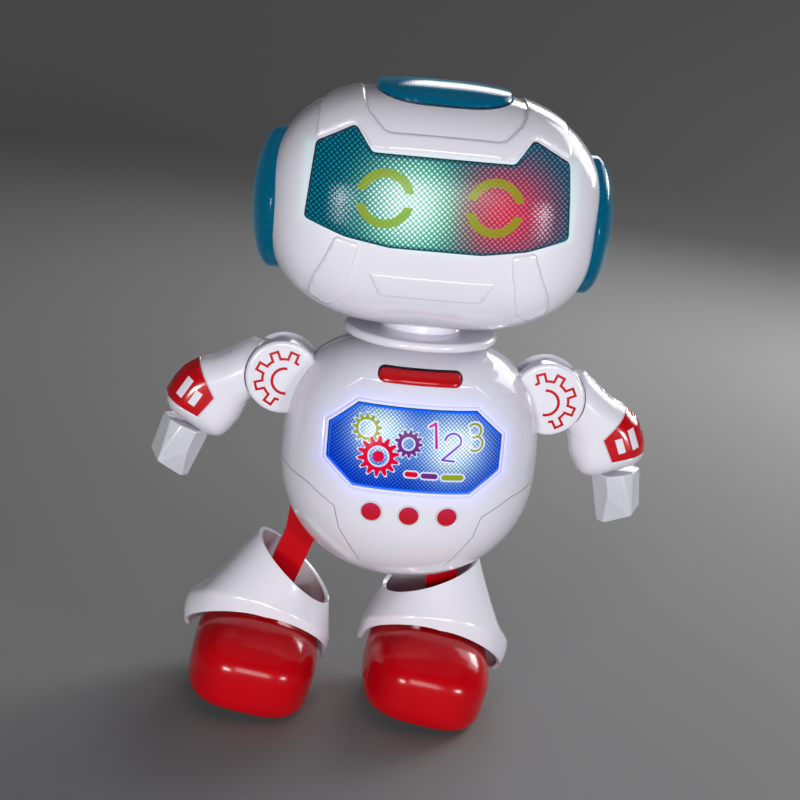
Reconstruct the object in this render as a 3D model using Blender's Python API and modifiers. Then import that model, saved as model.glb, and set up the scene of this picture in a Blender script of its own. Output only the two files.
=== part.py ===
"""Battery-driven dancing toy robot, modelled as the separate pieces that come apart on a bench.

The robot faces -Y and stands on the floor plane. Its right-hand limbs are at -X. Lengths are metres.
Each leg, arm and foot hangs from an empty on its joint, leaned to the pose the robot is stored in.
"""

from math import cos, pi, radians, sin

import bmesh
import bpy
from mathutils import Matrix, Vector

# ---------------------------------------------------------------- driving dimensions
GAP = 0.0003                    # play left between neighbouring pieces
WALL = 0.0020                   # moulded shell thickness
SEAM = 0.0003                   # each shell's edge stands back this far from the split plane
SHIFT_X = 0.0033                # puts the middle of the whole outline over the origin

# Torso: an egg with squarer shoulders than hips
TORSO_CENTRE = Vector((0.0, 0.0, 0.0880))
TORSO_HALF = Vector((0.0449, 0.0370, 0.0436))
TORSO_DROP = 0.0426             # from the centre down to the lowest point
TORSO_PLAN = 2.2                # roundness power of the horizontal sections
TORSO_UP = 3.0                  # roundness power above the centre
TORSO_DOWN = 2.1                # and below it

# Head: a wide rounded block
HEAD_CENTRE = Vector((0.0, 0.0, 0.1770))
HEAD_HALF = Vector((0.0560, 0.0410, 0.0407))
HEAD_PLAN = 3.3                 # roundness power of the horizontal sections
HEAD_SIDE = 2.65                # and of the upright ones

SEGMENTS = 24                   # steps round an egg
RINGS = 12                      # steps from pole to pole

# Window, visor and trim outlines, as (x, z) corners on the +X side, mirrored for the other
WINDOW_SIDE = ((0.0195, 0.1148), (0.0287, 0.1068), (0.0287, 0.0950), (0.0195, 0.0873))
VISOR_SIDE = (
    (0.0225, 0.1970), (0.0282, 0.2046), (0.0400, 0.1985), (0.0420, 0.1750),
    (0.0290, 0.1707), (0.0145, 0.1685),
)
CHEST_BAR = (0.0139, 0.0021, 0.1241)      # half length, half height, height of its middle
LAMP_HALF = (0.0225, 0.0250)              # half width and half depth of the head lamp
LAMP_PROUD = 0.0012                       # how far the lamp stands above the head
DOOR_HALF = (0.0235, 0.0270)              # half width and half height of the battery door
DOOR_Z = 0.0860

# Ears
EAR_RADIUS = 0.0235
EAR_Z = 0.1755
EAR_ROOT = 0.0458               # where the ear's rim starts, from the middle
EAR_SHOULDER = 0.0530           # where its dome starts
EAR_TIP = 0.0605

# Neck
NECK_Z = 0.1321                 # underside of the collar
COLLAR_RADIUS = 0.0265
POST_RADIUS = 0.0075
POST_BORE = 0.0030

# Shoulders and arms
SHOULDER_X = 0.0460
SHOULDER_Z = 0.1150
DISC_RADIUS = 0.0128
DISC_FRONT = -0.0095
DISC_BACK = -0.0023
BOSS_FRONT = -0.0020            # the arm's boss turns between the two shoulder discs
BOSS_BACK = 0.0050
REAR_DISC_BACK = 0.0125
REAR_DISC_TIP = 0.0088          # the rear disc narrows to this radius
ARM_CLEAR = DISC_RADIUS + 0.0004
ARM_FRONT = -0.0080
ARM_SPLIT = 0.0027
ARM_BACK = 0.0105
ARM_SOFT = 0.0045               # rounding of the arm's long edges
ARM_LEAN = radians(4.7)
PIN_RADIUS = 0.0015
# Arm outline round the sleeve, as (outward, up) from the shoulder axis
ARM_OUTLINE = (
    (0.0123, 0.0100), (0.0166, 0.0070), (0.0209, 0.0037), (0.0250, 0.0014), (0.0280, 0.0005),
    (0.0310, -0.0012), (0.0345, -0.0040), (0.0376, -0.0090), (0.0394, -0.0130), (0.0395, -0.0154),
    (0.0385, -0.0188), (0.0370, -0.0206), (0.0242, -0.0273), (0.0202, -0.0280), (0.0171, -0.0267),
    (0.0131, -0.0206), (0.0105, -0.0125),
)
ARM_HOLLOW = (
    (0.0180, 0.0030), (0.0262, -0.0022), (0.0326, -0.0068), (0.0372, -0.0150),
    (0.0345, -0.0185), (0.0222, -0.0245), (0.0180, -0.0228), (0.0152, -0.0100),
)
BOSS_RADIUS = 0.0098
WRIST = Vector((0.0306, -0.0234))         # middle of the cuff's end, outward and up
HAND_TIP = Vector((0.0355, -0.0422))      # middle of the finger ends

# Legs
HIP_X = 0.0310
HIP_Z = 0.1120
SOLE_DROP = 0.1135              # hip pin to the underside of the sole, leg upright
FOOT_PIN_RISE = 0.0185          # the pin that fixes the strut in the foot, above the sole
LEG_LEAN = radians(10)
STRUT_HALF = 0.0020             # half the strut's thickness
STRUT_WIDE = 0.0055             # half the strut's width
KNEE = (-0.0051, -0.0550)       # strut's middle above the boot: outward, up from the hip
FOOT_PIN_OUT = 0.0013           # and how far outward it ends
TIE_ARM = 0.0200                # hip pin down to the tie-bar pin

# Feet, measured from the underside of the sole below the hip
SHOE_CENTRE = Vector((0.0, -0.0090, 0.0136))
SHOE_HALF = Vector((0.0223, 0.0285, 0.0155))
SHOE_PLAN = 3.0                 # roundness power of the horizontal sections
SHOE_TOP = 2.2                  # above the middle
SHOE_FOOT = 5.0                 # and below it
SHOE_WALL = 0.0018
SHOE_RIM = 0.0010               # the shoe's lower edge clears the floor
SOLE_HALF = (0.0158, 0.0200)
SOLE_THICK = 0.0020
LIFT = SOLE_DROP * cos(LEG_LEAN) + SOLE_HALF[0] * sin(LEG_LEAN) - HIP_Z  # leaned soles meet z = 0
BOOT_WALL = 0.0015
BOOT_POWER = 2.5                # squareness of the boot's plan
WHEEL_RADIUS = 0.0082
WHEEL_Y = -0.0200
WHEEL_Z = 0.0084

# Drive
MODULE = 0.00095
CRANK_TEETH = 24
PINION_TEETH = 8
CRANK_Z = HIP_Z - TIE_ARM * cos(LEG_LEAN)
PINION_Z = CRANK_Z - MODULE * (CRANK_TEETH + PINION_TEETH) / 2
CRANK_THROW = TIE_ARM * sin(LEG_LEAN)
PLATE_FRONT = (-0.0114, -0.0099)          # front and back faces of each plate in the drive
GEAR_SLAB = (-0.0090, -0.0060)
TIE_SLAB = (-0.0052, -0.0032)
PLATE_REAR = (0.0031, 0.0046)
MOTOR_SLAB = (-0.0280, -0.0118)
MOTOR_RADIUS = 0.0100
MOTOR_FLAT = 0.0075

# Batteries
CELL_RADIUS = 0.0071
CELL_LENGTH = 0.0493
CELL_PITCH = 0.0150
CELL_Y = 0.0133
CELL_Z = 0.0610

SWITCH_Z = 0.1200
SCREW_Z = 0.0640                # the battery door's screw

# Colour, roughness and metallic value of each kind of material
FINISHES = {
    "white": ((0.83, 0.82, 0.88), 0.22, 0.0),
    "red": ((0.62, 0.005, 0.012), 0.20, 0.0),
    "teal": ((0.02, 0.26, 0.36), 0.15, 0.0),
    "blue": ((0.03, 0.10, 0.75), 0.15, 0.0),
    "clear": ((0.80, 0.80, 0.84), 0.12, 0.0),
    "black": ((0.03, 0.03, 0.035), 0.55, 0.0),
    "grey": ((0.30, 0.31, 0.33), 0.50, 0.0),
    "board": ((0.03, 0.22, 0.10), 0.45, 0.0),
    "steel": ((0.60, 0.60, 0.62), 0.30, 1.0),
    "cell": ((0.05, 0.05, 0.06), 0.35, 0.2),
    "natural": ((0.75, 0.73, 0.66), 0.45, 0.0),
}


# ---------------------------------------------------------------- scene helpers
def clear_scene():
    """Remove every object, so the model starts from nothing."""
    for obj in list(bpy.data.objects):
        bpy.data.objects.remove(obj, do_unlink=True)


def new_collection(name):
    """Make a collection in the scene."""
    made = bpy.data.collections.new(name)
    bpy.context.scene.collection.children.link(made)
    return made


def own_material(name, finish):
    """Give one piece its own Principled material."""
    colour, roughness, metallic = FINISHES[finish]
    made = bpy.data.materials.new(name + "_finish")
    made.use_nodes = True
    shader = made.node_tree.nodes["Principled BSDF"]
    shader.inputs["Base Color"].default_value = (*colour, 1.0)
    shader.inputs["Roughness"].default_value = roughness
    shader.inputs["Metallic"].default_value = metallic
    return made


def joint_empty(name, parent, location, lean=0.0):
    """An empty on a joint, turned about Y by its stored lean."""
    made = bpy.data.objects.new(name, None)
    made.empty_display_size = 0.01
    made.parent = parent
    made.location = location
    made.rotation_euler = (0.0, lean, 0.0)
    PARTS.objects.link(made)
    return made


def piece(name, data, finish, parent, location=(0, 0, 0), rotation=(0, 0, 0)):
    """Put a named piece in the parts collection."""
    made = bpy.data.objects.new(name, data)
    data.materials.append(own_material(name, finish))
    made.parent = parent
    made.location = location
    made.rotation_euler = rotation
    PARTS.objects.link(made)
    if isinstance(data, bpy.types.Mesh):
        data.shade_smooth()
        data.set_sharp_from_angle(angle=radians(35))
    return made


def tool(name, bm, parent):
    """Put a cutter or a body to be joined in the cutters collection."""
    made = bpy.data.objects.new(name, mesh_of(name, bm))
    made.parent = parent
    made.hide_render = True
    made.display_type = "WIRE"
    CUTTERS.objects.link(made)
    return made


def mesh_of(name, bm):
    """Turn a bmesh into a mesh with its faces pointing out."""
    bmesh.ops.recalc_face_normals(bm, faces=bm.faces)
    made = bpy.data.meshes.new(name)
    bm.to_mesh(made)
    bm.free()
    return made


def boolean(obj, operation, other):
    """Add an exact Boolean."""
    step = obj.modifiers.new(operation.lower(), "BOOLEAN")
    step.operation = operation
    step.solver = "EXACT"
    step.object = other


def thicken(obj, wall):
    """Give an open surface its wall, inwards."""
    step = obj.modifiers.new("wall", "SOLIDIFY")
    step.thickness = wall
    step.offset = -1.0
    step.use_even_offset = True


# ---------------------------------------------------------------- shape helpers
AXIS_TURNS = {
    "X": Matrix.Rotation(pi / 2, 4, "Y"),
    "Y": Matrix.Rotation(-pi / 2, 4, "X"),
    "Z": Matrix.Identity(4),
}


def add_box(bm, low, high):
    """A box between two corners."""
    low, high = Vector(low), Vector(high)
    size = Matrix.Diagonal((*(high - low), 1.0))
    bmesh.ops.create_cube(bm, size=1.0, matrix=Matrix.Translation((low + high) / 2) @ size)


def add_rod(bm, start, axis, length, radius, tip_radius=None, segments=24):
    """A cylinder or a cone from a start point along +X, +Y or +Z."""
    half = Matrix.Translation((0, 0, length / 2))
    bmesh.ops.create_cone(
        bm, cap_ends=True, segments=segments, radius1=radius, depth=length,
        radius2=radius if tip_radius is None else tip_radius,
        matrix=Matrix.Translation(start) @ AXIS_TURNS[axis] @ half,
    )


def add_slab(bm, outline, low, high, axis="Y"):
    """An outline in the plane across an axis, pulled from low to high along it."""
    if axis == "Y":
        corners = [bm.verts.new((x, low, z)) for x, z in outline]
        pull = Vector((0, high - low, 0))
    else:
        corners = [bm.verts.new((x, y, low)) for x, y in outline]
        pull = Vector((0, 0, high - low))
    base = bm.faces.new(corners)
    grown = bmesh.ops.extrude_face_region(bm, geom=[base])["geom"]
    moved = [item for item in grown if isinstance(item, bmesh.types.BMVert)]
    bmesh.ops.translate(bm, verts=moved, vec=pull)


def mirrored(side):
    """Complete a closed outline from its +X half, top first."""
    return list(side) + [(-x, z) for x, z in reversed(side)]


def grown(outline, amount):
    """Move every edge of a closed outline outwards by the same amount."""
    points = [Vector(point) for point in outline]
    turn = sum(a.x * b.y - b.x * a.y for a, b in zip(points, points[1:] + points[:1]))
    sense = 1 if turn > 0 else -1
    made = []
    for i, point in enumerate(points):
        before = (point - points[i - 1]).normalized()
        after = (points[(i + 1) % len(points)] - point).normalized()
        normal = Vector((before.y + after.y, -before.x - after.x)).normalized()
        reach = amount / max(0.3, normal.dot(Vector((before.y, -before.x))))
        made.append(tuple(point + normal * reach * sense))
    return made


def arc(middle, radius, first, last, steps):
    """Points on an arc, angles in degrees."""
    turns = [radians(first + (last - first) * i / steps) for i in range(steps + 1)]
    return [(middle[0] + radius * cos(t), middle[1] + radius * sin(t)) for t in turns]


def superellipse(half, power, steps, middle=(0.0, 0.0)):
    """A closed rounded-rectangle outline."""
    made = []
    for i in range(steps):
        turn = 2 * pi * i / steps
        reach = (abs(cos(turn)) ** power + abs(sin(turn)) ** power) ** (-1 / power)
        made.append((middle[0] + half[0] * reach * cos(turn),
                     middle[1] + half[1] * reach * sin(turn)))
    return made


def capsule(half_length, half_height, z, steps=6):
    """A pill-shaped outline lying along X."""
    straight = half_length - half_height
    return (arc((straight, z), half_height, -90, 90, steps)
            + arc((-straight, z), half_height, 90, 270, steps))


def egg(centre, half, plan, up, down, drop=None, swell=0.0, segments=SEGMENTS, rings=RINGS):
    """A closed egg surface: horizontal sections of one power, side sections of two."""
    bm = bmesh.new()
    bmesh.ops.create_uvsphere(bm, u_segments=segments, v_segments=rings, radius=1.0)
    a, b, top = half.x + swell, half.y + swell, half.z + swell
    bottom = (half.z if drop is None else drop) + swell
    for vert in bm.verts:
        x, y, z = vert.co
        side, tall = (up, top) if z >= 0 else (down, bottom)
        level = (abs(x / a) ** plan + abs(y / b) ** plan) ** (side / plan)
        vert.co = centre + vert.co * (level + abs(z / tall) ** side) ** (-1 / side)
    return bm


def keep_side(bm, point, normal):
    """Cut an open surface at a plane and keep what is behind the plane's normal."""
    bmesh.ops.bisect_plane(
        bm, geom=bm.verts[:] + bm.edges[:] + bm.faces[:], dist=1e-6,
        plane_co=point, plane_no=normal, clear_outer=True,
    )
    return bm


def turned(name, profile, finish, parent, location=(0, 0, 0), rotation=(0, 0, 0),
           closed=False, steps=24):
    """A turned piece: a profile of (radius, height) swept round Z with Screw."""
    data = bpy.data.meshes.new(name)
    corners = [(r, 0.0, z) for r, z in profile]
    links = [(i, i + 1) for i in range(len(corners) - 1)]
    if closed:
        links.append((len(corners) - 1, 0))
    data.from_pydata(corners, links, [])
    made = piece(name, data, finish, parent, location, rotation)
    step = made.modifiers.new("turn", "SCREW")
    step.steps = steps
    step.render_steps = steps
    step.use_merge_vertices = True
    step.merge_threshold = 0.00001
    step.use_smooth_shade = True
    return made


def plate(name, outlines, slab, finish, parent, location=(0, 0, 0)):
    """A flat plate in the XZ plane with holes: the first outline is its edge."""
    curve = bpy.data.curves.new(name, "CURVE")
    curve.dimensions = "2D"
    curve.fill_mode = "BOTH"
    curve.extrude = (slab[1] - slab[0]) / 2
    for outline in outlines:
        line = curve.splines.new("POLY")
        line.points.add(len(outline) - 1)
        for point, (x, z) in zip(line.points, outline):
            point.co = (x, z, 0.0, 1.0)
        line.use_cyclic_u = True
    middle = Vector(location) + Vector((0, (slab[0] + slab[1]) / 2, 0))
    return piece(name, curve, finish, parent, middle, (pi / 2, 0, 0))


def circle(x, z, radius, steps=16):
    """A round hole's outline."""
    return arc((x, z), radius, 0, 360 - 360 / steps, steps - 1)


def gear_outline(teeth, first):
    """Slender straight-sided teeth on their pitch circle; first is the first tooth's angle."""
    pitch = MODULE * teeth / 2
    root, tip = pitch - 0.0011, pitch + 0.0008
    foot, crest = 0.00070, 0.00026
    made = []
    for i in range(teeth):
        turn = first + 2 * pi * i / teeth
        for radius, half in ((root, -foot), (tip, -crest), (tip, crest), (root, foot)):
            angle = turn + half / radius
            made.append((radius * cos(angle), radius * sin(angle)))
    return made


# ---------------------------------------------------------------- torso
def torso_surface(swell=0.0):
    """The torso's outer skin."""
    return egg(TORSO_CENTRE, TORSO_HALF, TORSO_PLAN, TORSO_UP, TORSO_DOWN, TORSO_DROP, swell)


def leg_slots(bm):
    """Openings under the torso that the legs swing in."""
    for side in (-1, 1):
        ends = sorted((side * 0.0090, side * 0.0460))
        add_box(bm, (ends[0], -0.0026, 0.0380), (ends[1], 0.0026, 0.0790))


def torso_front_shell(robot):
    """Front shell with its shoulder discs and the posts that hold the drive."""
    bm = keep_side(torso_surface(), (0, -SEAM, 0), (0, 1, 0))
    shell = piece("torso_front_shell", mesh_of("torso_front_shell", bm), "white", robot)
    thicken(shell, WALL)
    for side in (-1, 1):
        bm = bmesh.new()
        add_rod(bm, (side * SHOULDER_X, DISC_FRONT, SHOULDER_Z), "Y", DISC_BACK - DISC_FRONT,
                DISC_RADIUS, segments=28)
        boolean(shell, "UNION", tool("front_disc_body", bm, robot))
        bm = bmesh.new()
        add_rod(bm, (side * 0.0270, -0.0280, 0.0740), "Y", 0.0163, 0.0028, segments=12)
        boolean(shell, "UNION", tool("drive_post_body", bm, robot))
    bm = bmesh.new()
    add_slab(bm, grown(mirrored(WINDOW_SIDE), GAP), -0.0450, -0.0150)
    bar = capsule(CHEST_BAR[0] + GAP, CHEST_BAR[1] + GAP, CHEST_BAR[2])
    add_slab(bm, bar, -0.0350, -0.0150)
    add_rod(bm, (0, 0, 0.1200), "Z", 0.0200, POST_RADIUS + 0.0010)
    leg_slots(bm)
    boolean(shell, "DIFFERENCE", tool("torso_front_cuts", bm, robot))
    bm = bmesh.new()
    arm_pockets(bm, DISC_BACK, 0.0010)
    boolean(shell, "DIFFERENCE", tool("front_arm_pockets", bm, robot))
    bm = bmesh.new()
    pin_holes(bm)
    boolean(shell, "DIFFERENCE", tool("front_pin_holes", bm, robot))


def arm_pockets(bm, front, back):
    """Clear round pockets in a shell, where the arms' bosses turn."""
    for side in (-1, 1):
        add_rod(bm, (side * SHOULDER_X, front, SHOULDER_Z), "Y", back - front,
                ARM_CLEAR + 0.0006, segments=28)


def pin_holes(bm):
    """Holes for the shoulder pins."""
    for side in (-1, 1):
        add_rod(bm, (side * SHOULDER_X, -0.0063, SHOULDER_Z), "Y", 0.0186, PIN_RADIUS + GAP,
                segments=12)


def torso_rear_shell(robot):
    """Rear shell with pockets for the arms, the door opening and the switch slot."""
    bm = keep_side(torso_surface(), (0, SEAM, 0), (0, -1, 0))
    shell = piece("torso_rear_shell", mesh_of("torso_rear_shell", bm), "white", robot)
    thicken(shell, WALL)
    for side in (-1, 1):
        bm = bmesh.new()
        add_rod(bm, (side * SHOULDER_X, BOSS_BACK - 0.0010, SHOULDER_Z), "Y",
                REAR_DISC_BACK - BOSS_BACK + 0.0010, DISC_RADIUS, REAR_DISC_TIP, segments=28)
        boolean(shell, "UNION", tool("rear_disc_body", bm, robot))
    bm = bmesh.new()
    arm_pockets(bm, -0.0010, BOSS_BACK + GAP)
    boolean(shell, "DIFFERENCE", tool("rear_arm_pockets", bm, robot))
    bm = bmesh.new()
    opening = superellipse((DOOR_HALF[0] + GAP, DOOR_HALF[1] + GAP), 6, 32, (0, DOOR_Z))
    add_slab(bm, opening, 0.0120, 0.0450)
    add_rod(bm, (0, 0, 0.1200), "Z", 0.0200, POST_RADIUS + 0.0010)
    add_box(bm, (-0.0042, 0.0240, SWITCH_Z - 0.0018), (0.0042, 0.0400, SWITCH_Z + 0.0018))
    leg_slots(bm)
    pin_holes(bm)
    boolean(shell, "DIFFERENCE", tool("torso_rear_cuts", bm, robot))


def skin_patch(name, surface, wall, outline_tool, finish, parent):
    """A panel cut from a surface by an outline, with its own wall."""
    patch = piece(name, mesh_of(name, surface), finish, parent)
    thicken(patch, wall)
    boolean(patch, "INTERSECT", outline_tool)
    return patch


def torso_panels(robot, door_body):
    """Window lens, chest bar and battery door."""
    bm = bmesh.new()
    add_slab(bm, mirrored(WINDOW_SIDE), -0.0450, -0.0150)
    outline = tool("window_outline", bm, robot)
    front = keep_side(torso_surface(0.0004), (0, -0.0100, 0), (0, 1, 0))
    skin_patch("window_lens", front, 0.0015, outline, "blue", robot)
    bm = bmesh.new()
    add_slab(bm, capsule(*CHEST_BAR), -0.0350, -0.0150)
    outline = tool("chest_bar_outline", bm, robot)
    front = keep_side(torso_surface(0.0004), (0, -0.0100, 0), (0, 1, 0))
    skin_patch("chest_bar", front, 0.0024, outline, "red", robot)
    bm = bmesh.new()
    add_slab(bm, superellipse(DOOR_HALF, 6, 32, (0, DOOR_Z)), 0.0120, 0.0450)
    outline = tool("door_outline", bm, robot)
    back = keep_side(torso_surface(), (0, 0.0060, 0), (0, -1, 0))
    door = skin_patch("battery_door", back, WALL, outline, "white", door_body)
    for word, start, radius in (("hole", 0.0200, 0.0013), ("seat", 0.0304, 0.0031)):
        bm = bmesh.new()
        add_rod(bm, (0, start, SCREW_Z), "Y", 0.0200, radius, segments=12)
        boolean(door, "DIFFERENCE", tool(f"door_screw_{word}", bm, robot))
    bm = bmesh.new()
    add_rod(bm, (0, 0.0306, SCREW_Z), "Y", 0.0012, 0.0027, segments=16)
    screw = piece("battery_door_screw", mesh_of("battery_door_screw", bm), "steel", door_body)
    bm = bmesh.new()
    add_rod(bm, (0, 0.0255, SCREW_Z), "Y", 0.0056, 0.0010, segments=12)
    boolean(screw, "UNION", tool("door_screw_shank", bm, robot))
    bm = bmesh.new()
    add_box(bm, (-0.0004, 0.0313, SCREW_Z - 0.0040), (0.0004, 0.0330, SCREW_Z + 0.0040))
    boolean(screw, "DIFFERENCE", tool("door_screw_slot", bm, robot))


def power_switch(robot):
    """Slide switch knob: a ridge outside, a retaining flange inside."""
    slide = joint_empty("power_switch_slide", robot, (-0.0020, 0, SWITCH_Z))
    bm = bmesh.new()
    add_box(bm, (-0.0016, 0.0232, -0.0015), (0.0016, 0.0335, 0.0015))
    knob = piece("power_switch_knob", mesh_of("power_switch_knob", bm), "black", slide)
    bm = bmesh.new()
    add_box(bm, (-0.0040, 0.0225, -0.0032), (0.0040, 0.0240, 0.0032))
    boolean(knob, "UNION", tool("switch_flange", bm, slide))


def window_lights(robot):
    """Light board behind the window, with its two blue lamps."""
    board_slab = (-0.0260, -0.0246)
    edge = superellipse((0.0235, 0.0115), 8, 16, (0, 0.1015))
    plate("window_light_board", [edge], board_slab, "board", robot)
    for side, name in ((-1, "window_led_right"), (1, "window_led_left")):
        profile = [(0.0, 0.0050), (0.0013, 0.0046), (0.0022, 0.0036), (0.0025, 0.0024),
                   (0.0025, 0.0), (0.0, 0.0)]
        turned(name, profile, "clear", robot, (side * 0.0120, board_slab[0] - GAP, 0.1010),
               (pi / 2, 0, 0), steps=12)


def battery_box(robot):
    """Open-backed tray with three round cells standing in it."""
    bm = bmesh.new()
    add_box(bm, (-0.0236, 0.0050, 0.0600), (0.0236, 0.0174, 0.1124))
    tray = piece("battery_tray", mesh_of("battery_tray", bm), "black", robot)
    bm = bmesh.new()
    add_box(bm, (-0.0225, 0.0060, 0.0607), (0.0225, 0.0300, 0.1116))
    boolean(tray, "DIFFERENCE", tool("battery_space", bm, robot))
    nub, nub_height = 0.0026, 0.0011
    for i in range(3):
        top = CELL_LENGTH
        profile = [(0.0, top), (nub, top), (nub, top - nub_height),
                   (CELL_RADIUS - 0.0006, top - nub_height), (CELL_RADIUS, top - 0.0018),
                   (CELL_RADIUS, 0.0), (0.0, 0.0)]
        turned(f"battery_{i + 1}", profile, "cell", robot,
               ((i - 1) * CELL_PITCH, CELL_Y, CELL_Z), steps=18)


# ---------------------------------------------------------------- neck
def neck(robot, head):
    """Hollow post from the torso, the collar that turns on it and the ring that keeps it."""
    bore, shaft, top = POST_BORE, POST_RADIUS, NECK_Z + 0.0101
    profile = [(bore, top), (shaft, top), (shaft, 0.1280), (0.0130, 0.1280), (0.0130, 0.1262),
               (bore, 0.1262)]
    turned("neck_post", profile, "natural", robot, closed=True, steps=18)
    ring = [(bore, top + 0.0023), (0.0110, top + 0.0023), (0.0110, top + GAP), (bore, top + GAP)]
    turned("neck_retainer", ring, "natural", robot, closed=True, steps=18)
    hole, hub = POST_RADIUS + GAP, 0.0138
    profile = [(hole, 0.1408), (hub, 0.1408), (hub, 0.1352), (COLLAR_RADIUS - 0.0010, 0.1352),
               (COLLAR_RADIUS, 0.1342), (COLLAR_RADIUS, 0.1331),
               (COLLAR_RADIUS - 0.0010, NECK_Z), (hole, NECK_Z)]
    turned("neck_collar", profile, "white", head, closed=True, steps=28)


# ---------------------------------------------------------------- head
def head_surface(swell=0.0):
    """The head's outer skin."""
    return egg(HEAD_CENTRE, HEAD_HALF, HEAD_PLAN, HEAD_SIDE, HEAD_SIDE, swell=swell)


def head_openings(bm):
    """Holes that both halves of the head share: ears, lamp and neck."""
    for side in (-1, 1):
        add_rod(bm, (0.0440 if side > 0 else -0.0640, 0, EAR_Z), "X", 0.0200,
                EAR_RADIUS + GAP, segments=32)
    lamp = superellipse((LAMP_HALF[0] + GAP, LAMP_HALF[1] + GAP), 3.5, 32)
    add_slab(bm, lamp, 0.2000, 0.2300, axis="Z")
    add_rod(bm, (0, 0, 0.1300), "Z", 0.0180, 0.0141, segments=24)


def head_shells(head):
    """Front shell with the visor opening, rear shell with the speaker slots."""
    bm = keep_side(head_surface(), (0, -SEAM, 0), (0, 1, 0))
    front = piece("head_front_shell", mesh_of("head_front_shell", bm), "white", head)
    thicken(front, WALL)
    bm = bmesh.new()
    head_openings(bm)
    add_slab(bm, grown(mirrored(VISOR_SIDE), GAP), -0.0500, -0.0080)
    boolean(front, "DIFFERENCE", tool("head_front_cuts", bm, head))
    bm = keep_side(head_surface(), (0, SEAM, 0), (0, -1, 0))
    rear = piece("head_rear_shell", mesh_of("head_rear_shell", bm), "white", head)
    thicken(rear, WALL)
    bm = bmesh.new()
    head_openings(bm)
    for i in range(5):
        level = HEAD_CENTRE.z + (i - 2) * 0.0042
        half = 0.0100 if i in (1, 2, 3) else 0.0070
        add_slab(bm, capsule(half, 0.0009, level, steps=3), 0.0300, 0.0500)
    boolean(rear, "DIFFERENCE", tool("head_rear_cuts", bm, head))


def head_lenses(head):
    """Visor, top lamp and the two ear domes."""
    bm = bmesh.new()
    add_slab(bm, mirrored(VISOR_SIDE), -0.0500, -0.0080)
    outline = tool("visor_outline", bm, head)
    front = keep_side(head_surface(-0.0002), (0, -0.0040, 0), (0, 1, 0))
    skin_patch("visor_lens", front, 0.0015, outline, "teal", head)
    bm = bmesh.new()
    add_slab(bm, superellipse(LAMP_HALF, 3.5, 32), 0.2000, 0.2300, axis="Z")
    outline = tool("lamp_outline", bm, head)
    top = keep_side(head_surface(LAMP_PROUD), (0, 0, 0.2020), (0, 0, -1))
    skin_patch("head_lamp", top, 0.0034, outline, "teal", head)
    dome = EAR_TIP - EAR_SHOULDER
    wall = 0.0016
    outer = [(EAR_RADIUS * sin(t), EAR_SHOULDER + dome * cos(t))
             for t in (radians(18 * i) for i in range(6))]
    inner_radius = EAR_RADIUS - wall
    inner = [(inner_radius * sin(t), EAR_SHOULDER - wall / 4 + (dome - wall) * cos(t))
             for t in (radians(90 - 30 * i) for i in range(4))]
    profile = outer + [(EAR_RADIUS, EAR_ROOT), (inner_radius, EAR_ROOT)] + inner
    profile = [(max(r, 0.0), h) for r, h in profile]
    for side, name in ((-1, "ear_lens_right"), (1, "ear_lens_left")):
        turned(name, profile, "teal", head, (0, 0, EAR_Z), (0, side * pi / 2, 0), steps=24)


def head_electronics(head):
    """Light board behind the visor, its two lamps and the speaker."""
    board_slab = (-0.0290, -0.0276)
    edge = superellipse((0.0330, 0.0130), 8, 16, (0, 0.1840))
    plate("visor_light_board", [edge], board_slab, "board", head)
    for side, name in ((-1, "visor_led_green"), (1, "visor_led_red")):
        profile = [(0.0, 0.0055), (0.0013, 0.0051), (0.0022, 0.0040), (0.0025, 0.0026),
                   (0.0025, 0.0), (0.0, 0.0)]
        turned(name, profile, "clear", head, (side * 0.0173, board_slab[0] - GAP, 0.1830),
               (pi / 2, 0, 0), steps=12)
    profile = [(0.0, 0.0010), (0.0090, 0.0022), (0.0112, 0.0026), (0.0130, 0.0026),
               (0.0130, 0.0), (0.0060, -0.0030), (0.0060, -0.0055), (0.0, -0.0055)]
    turned("speaker", profile, "grey", head, (0, 0.0320, HEAD_CENTRE.z), (-pi / 2, 0, 0), steps=18)


# ---------------------------------------------------------------- arms
def moulded_half(outline, mating, outer, side):
    """Half of a limb, from its flat mating face to a rounded outer face."""
    bm = bmesh.new()
    corners = [bm.verts.new((side * u, mating, z)) for u, z in outline]
    base = bm.faces.new(corners)
    pulled = bmesh.ops.extrude_face_region(bm, geom=[base])["geom"]
    tops = [item for item in pulled if isinstance(item, bmesh.types.BMVert)]
    bmesh.ops.translate(bm, verts=tops, vec=(0, outer - mating, 0))
    rim = [edge for edge in bm.edges if all(vert in tops for vert in edge.verts)]
    bmesh.ops.bevel(bm, geom=rim, offset=ARM_SOFT, segments=3, profile=0.5, affect="EDGES",
                    material=-1, clamp_overlap=True)
    return bm


def add_leaning_rod(bm, start, along, length, radius, tip_radius, segments):
    """A cylinder, cone or prism from a point in any direction."""
    turn = along.to_track_quat("Z", "Y").to_matrix().to_4x4()
    middle = Matrix.Translation(start + along * (length / 2))
    bmesh.ops.create_cone(bm, cap_ends=True, segments=segments, radius1=radius,
                          radius2=tip_radius, depth=length, matrix=middle @ turn)


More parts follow.
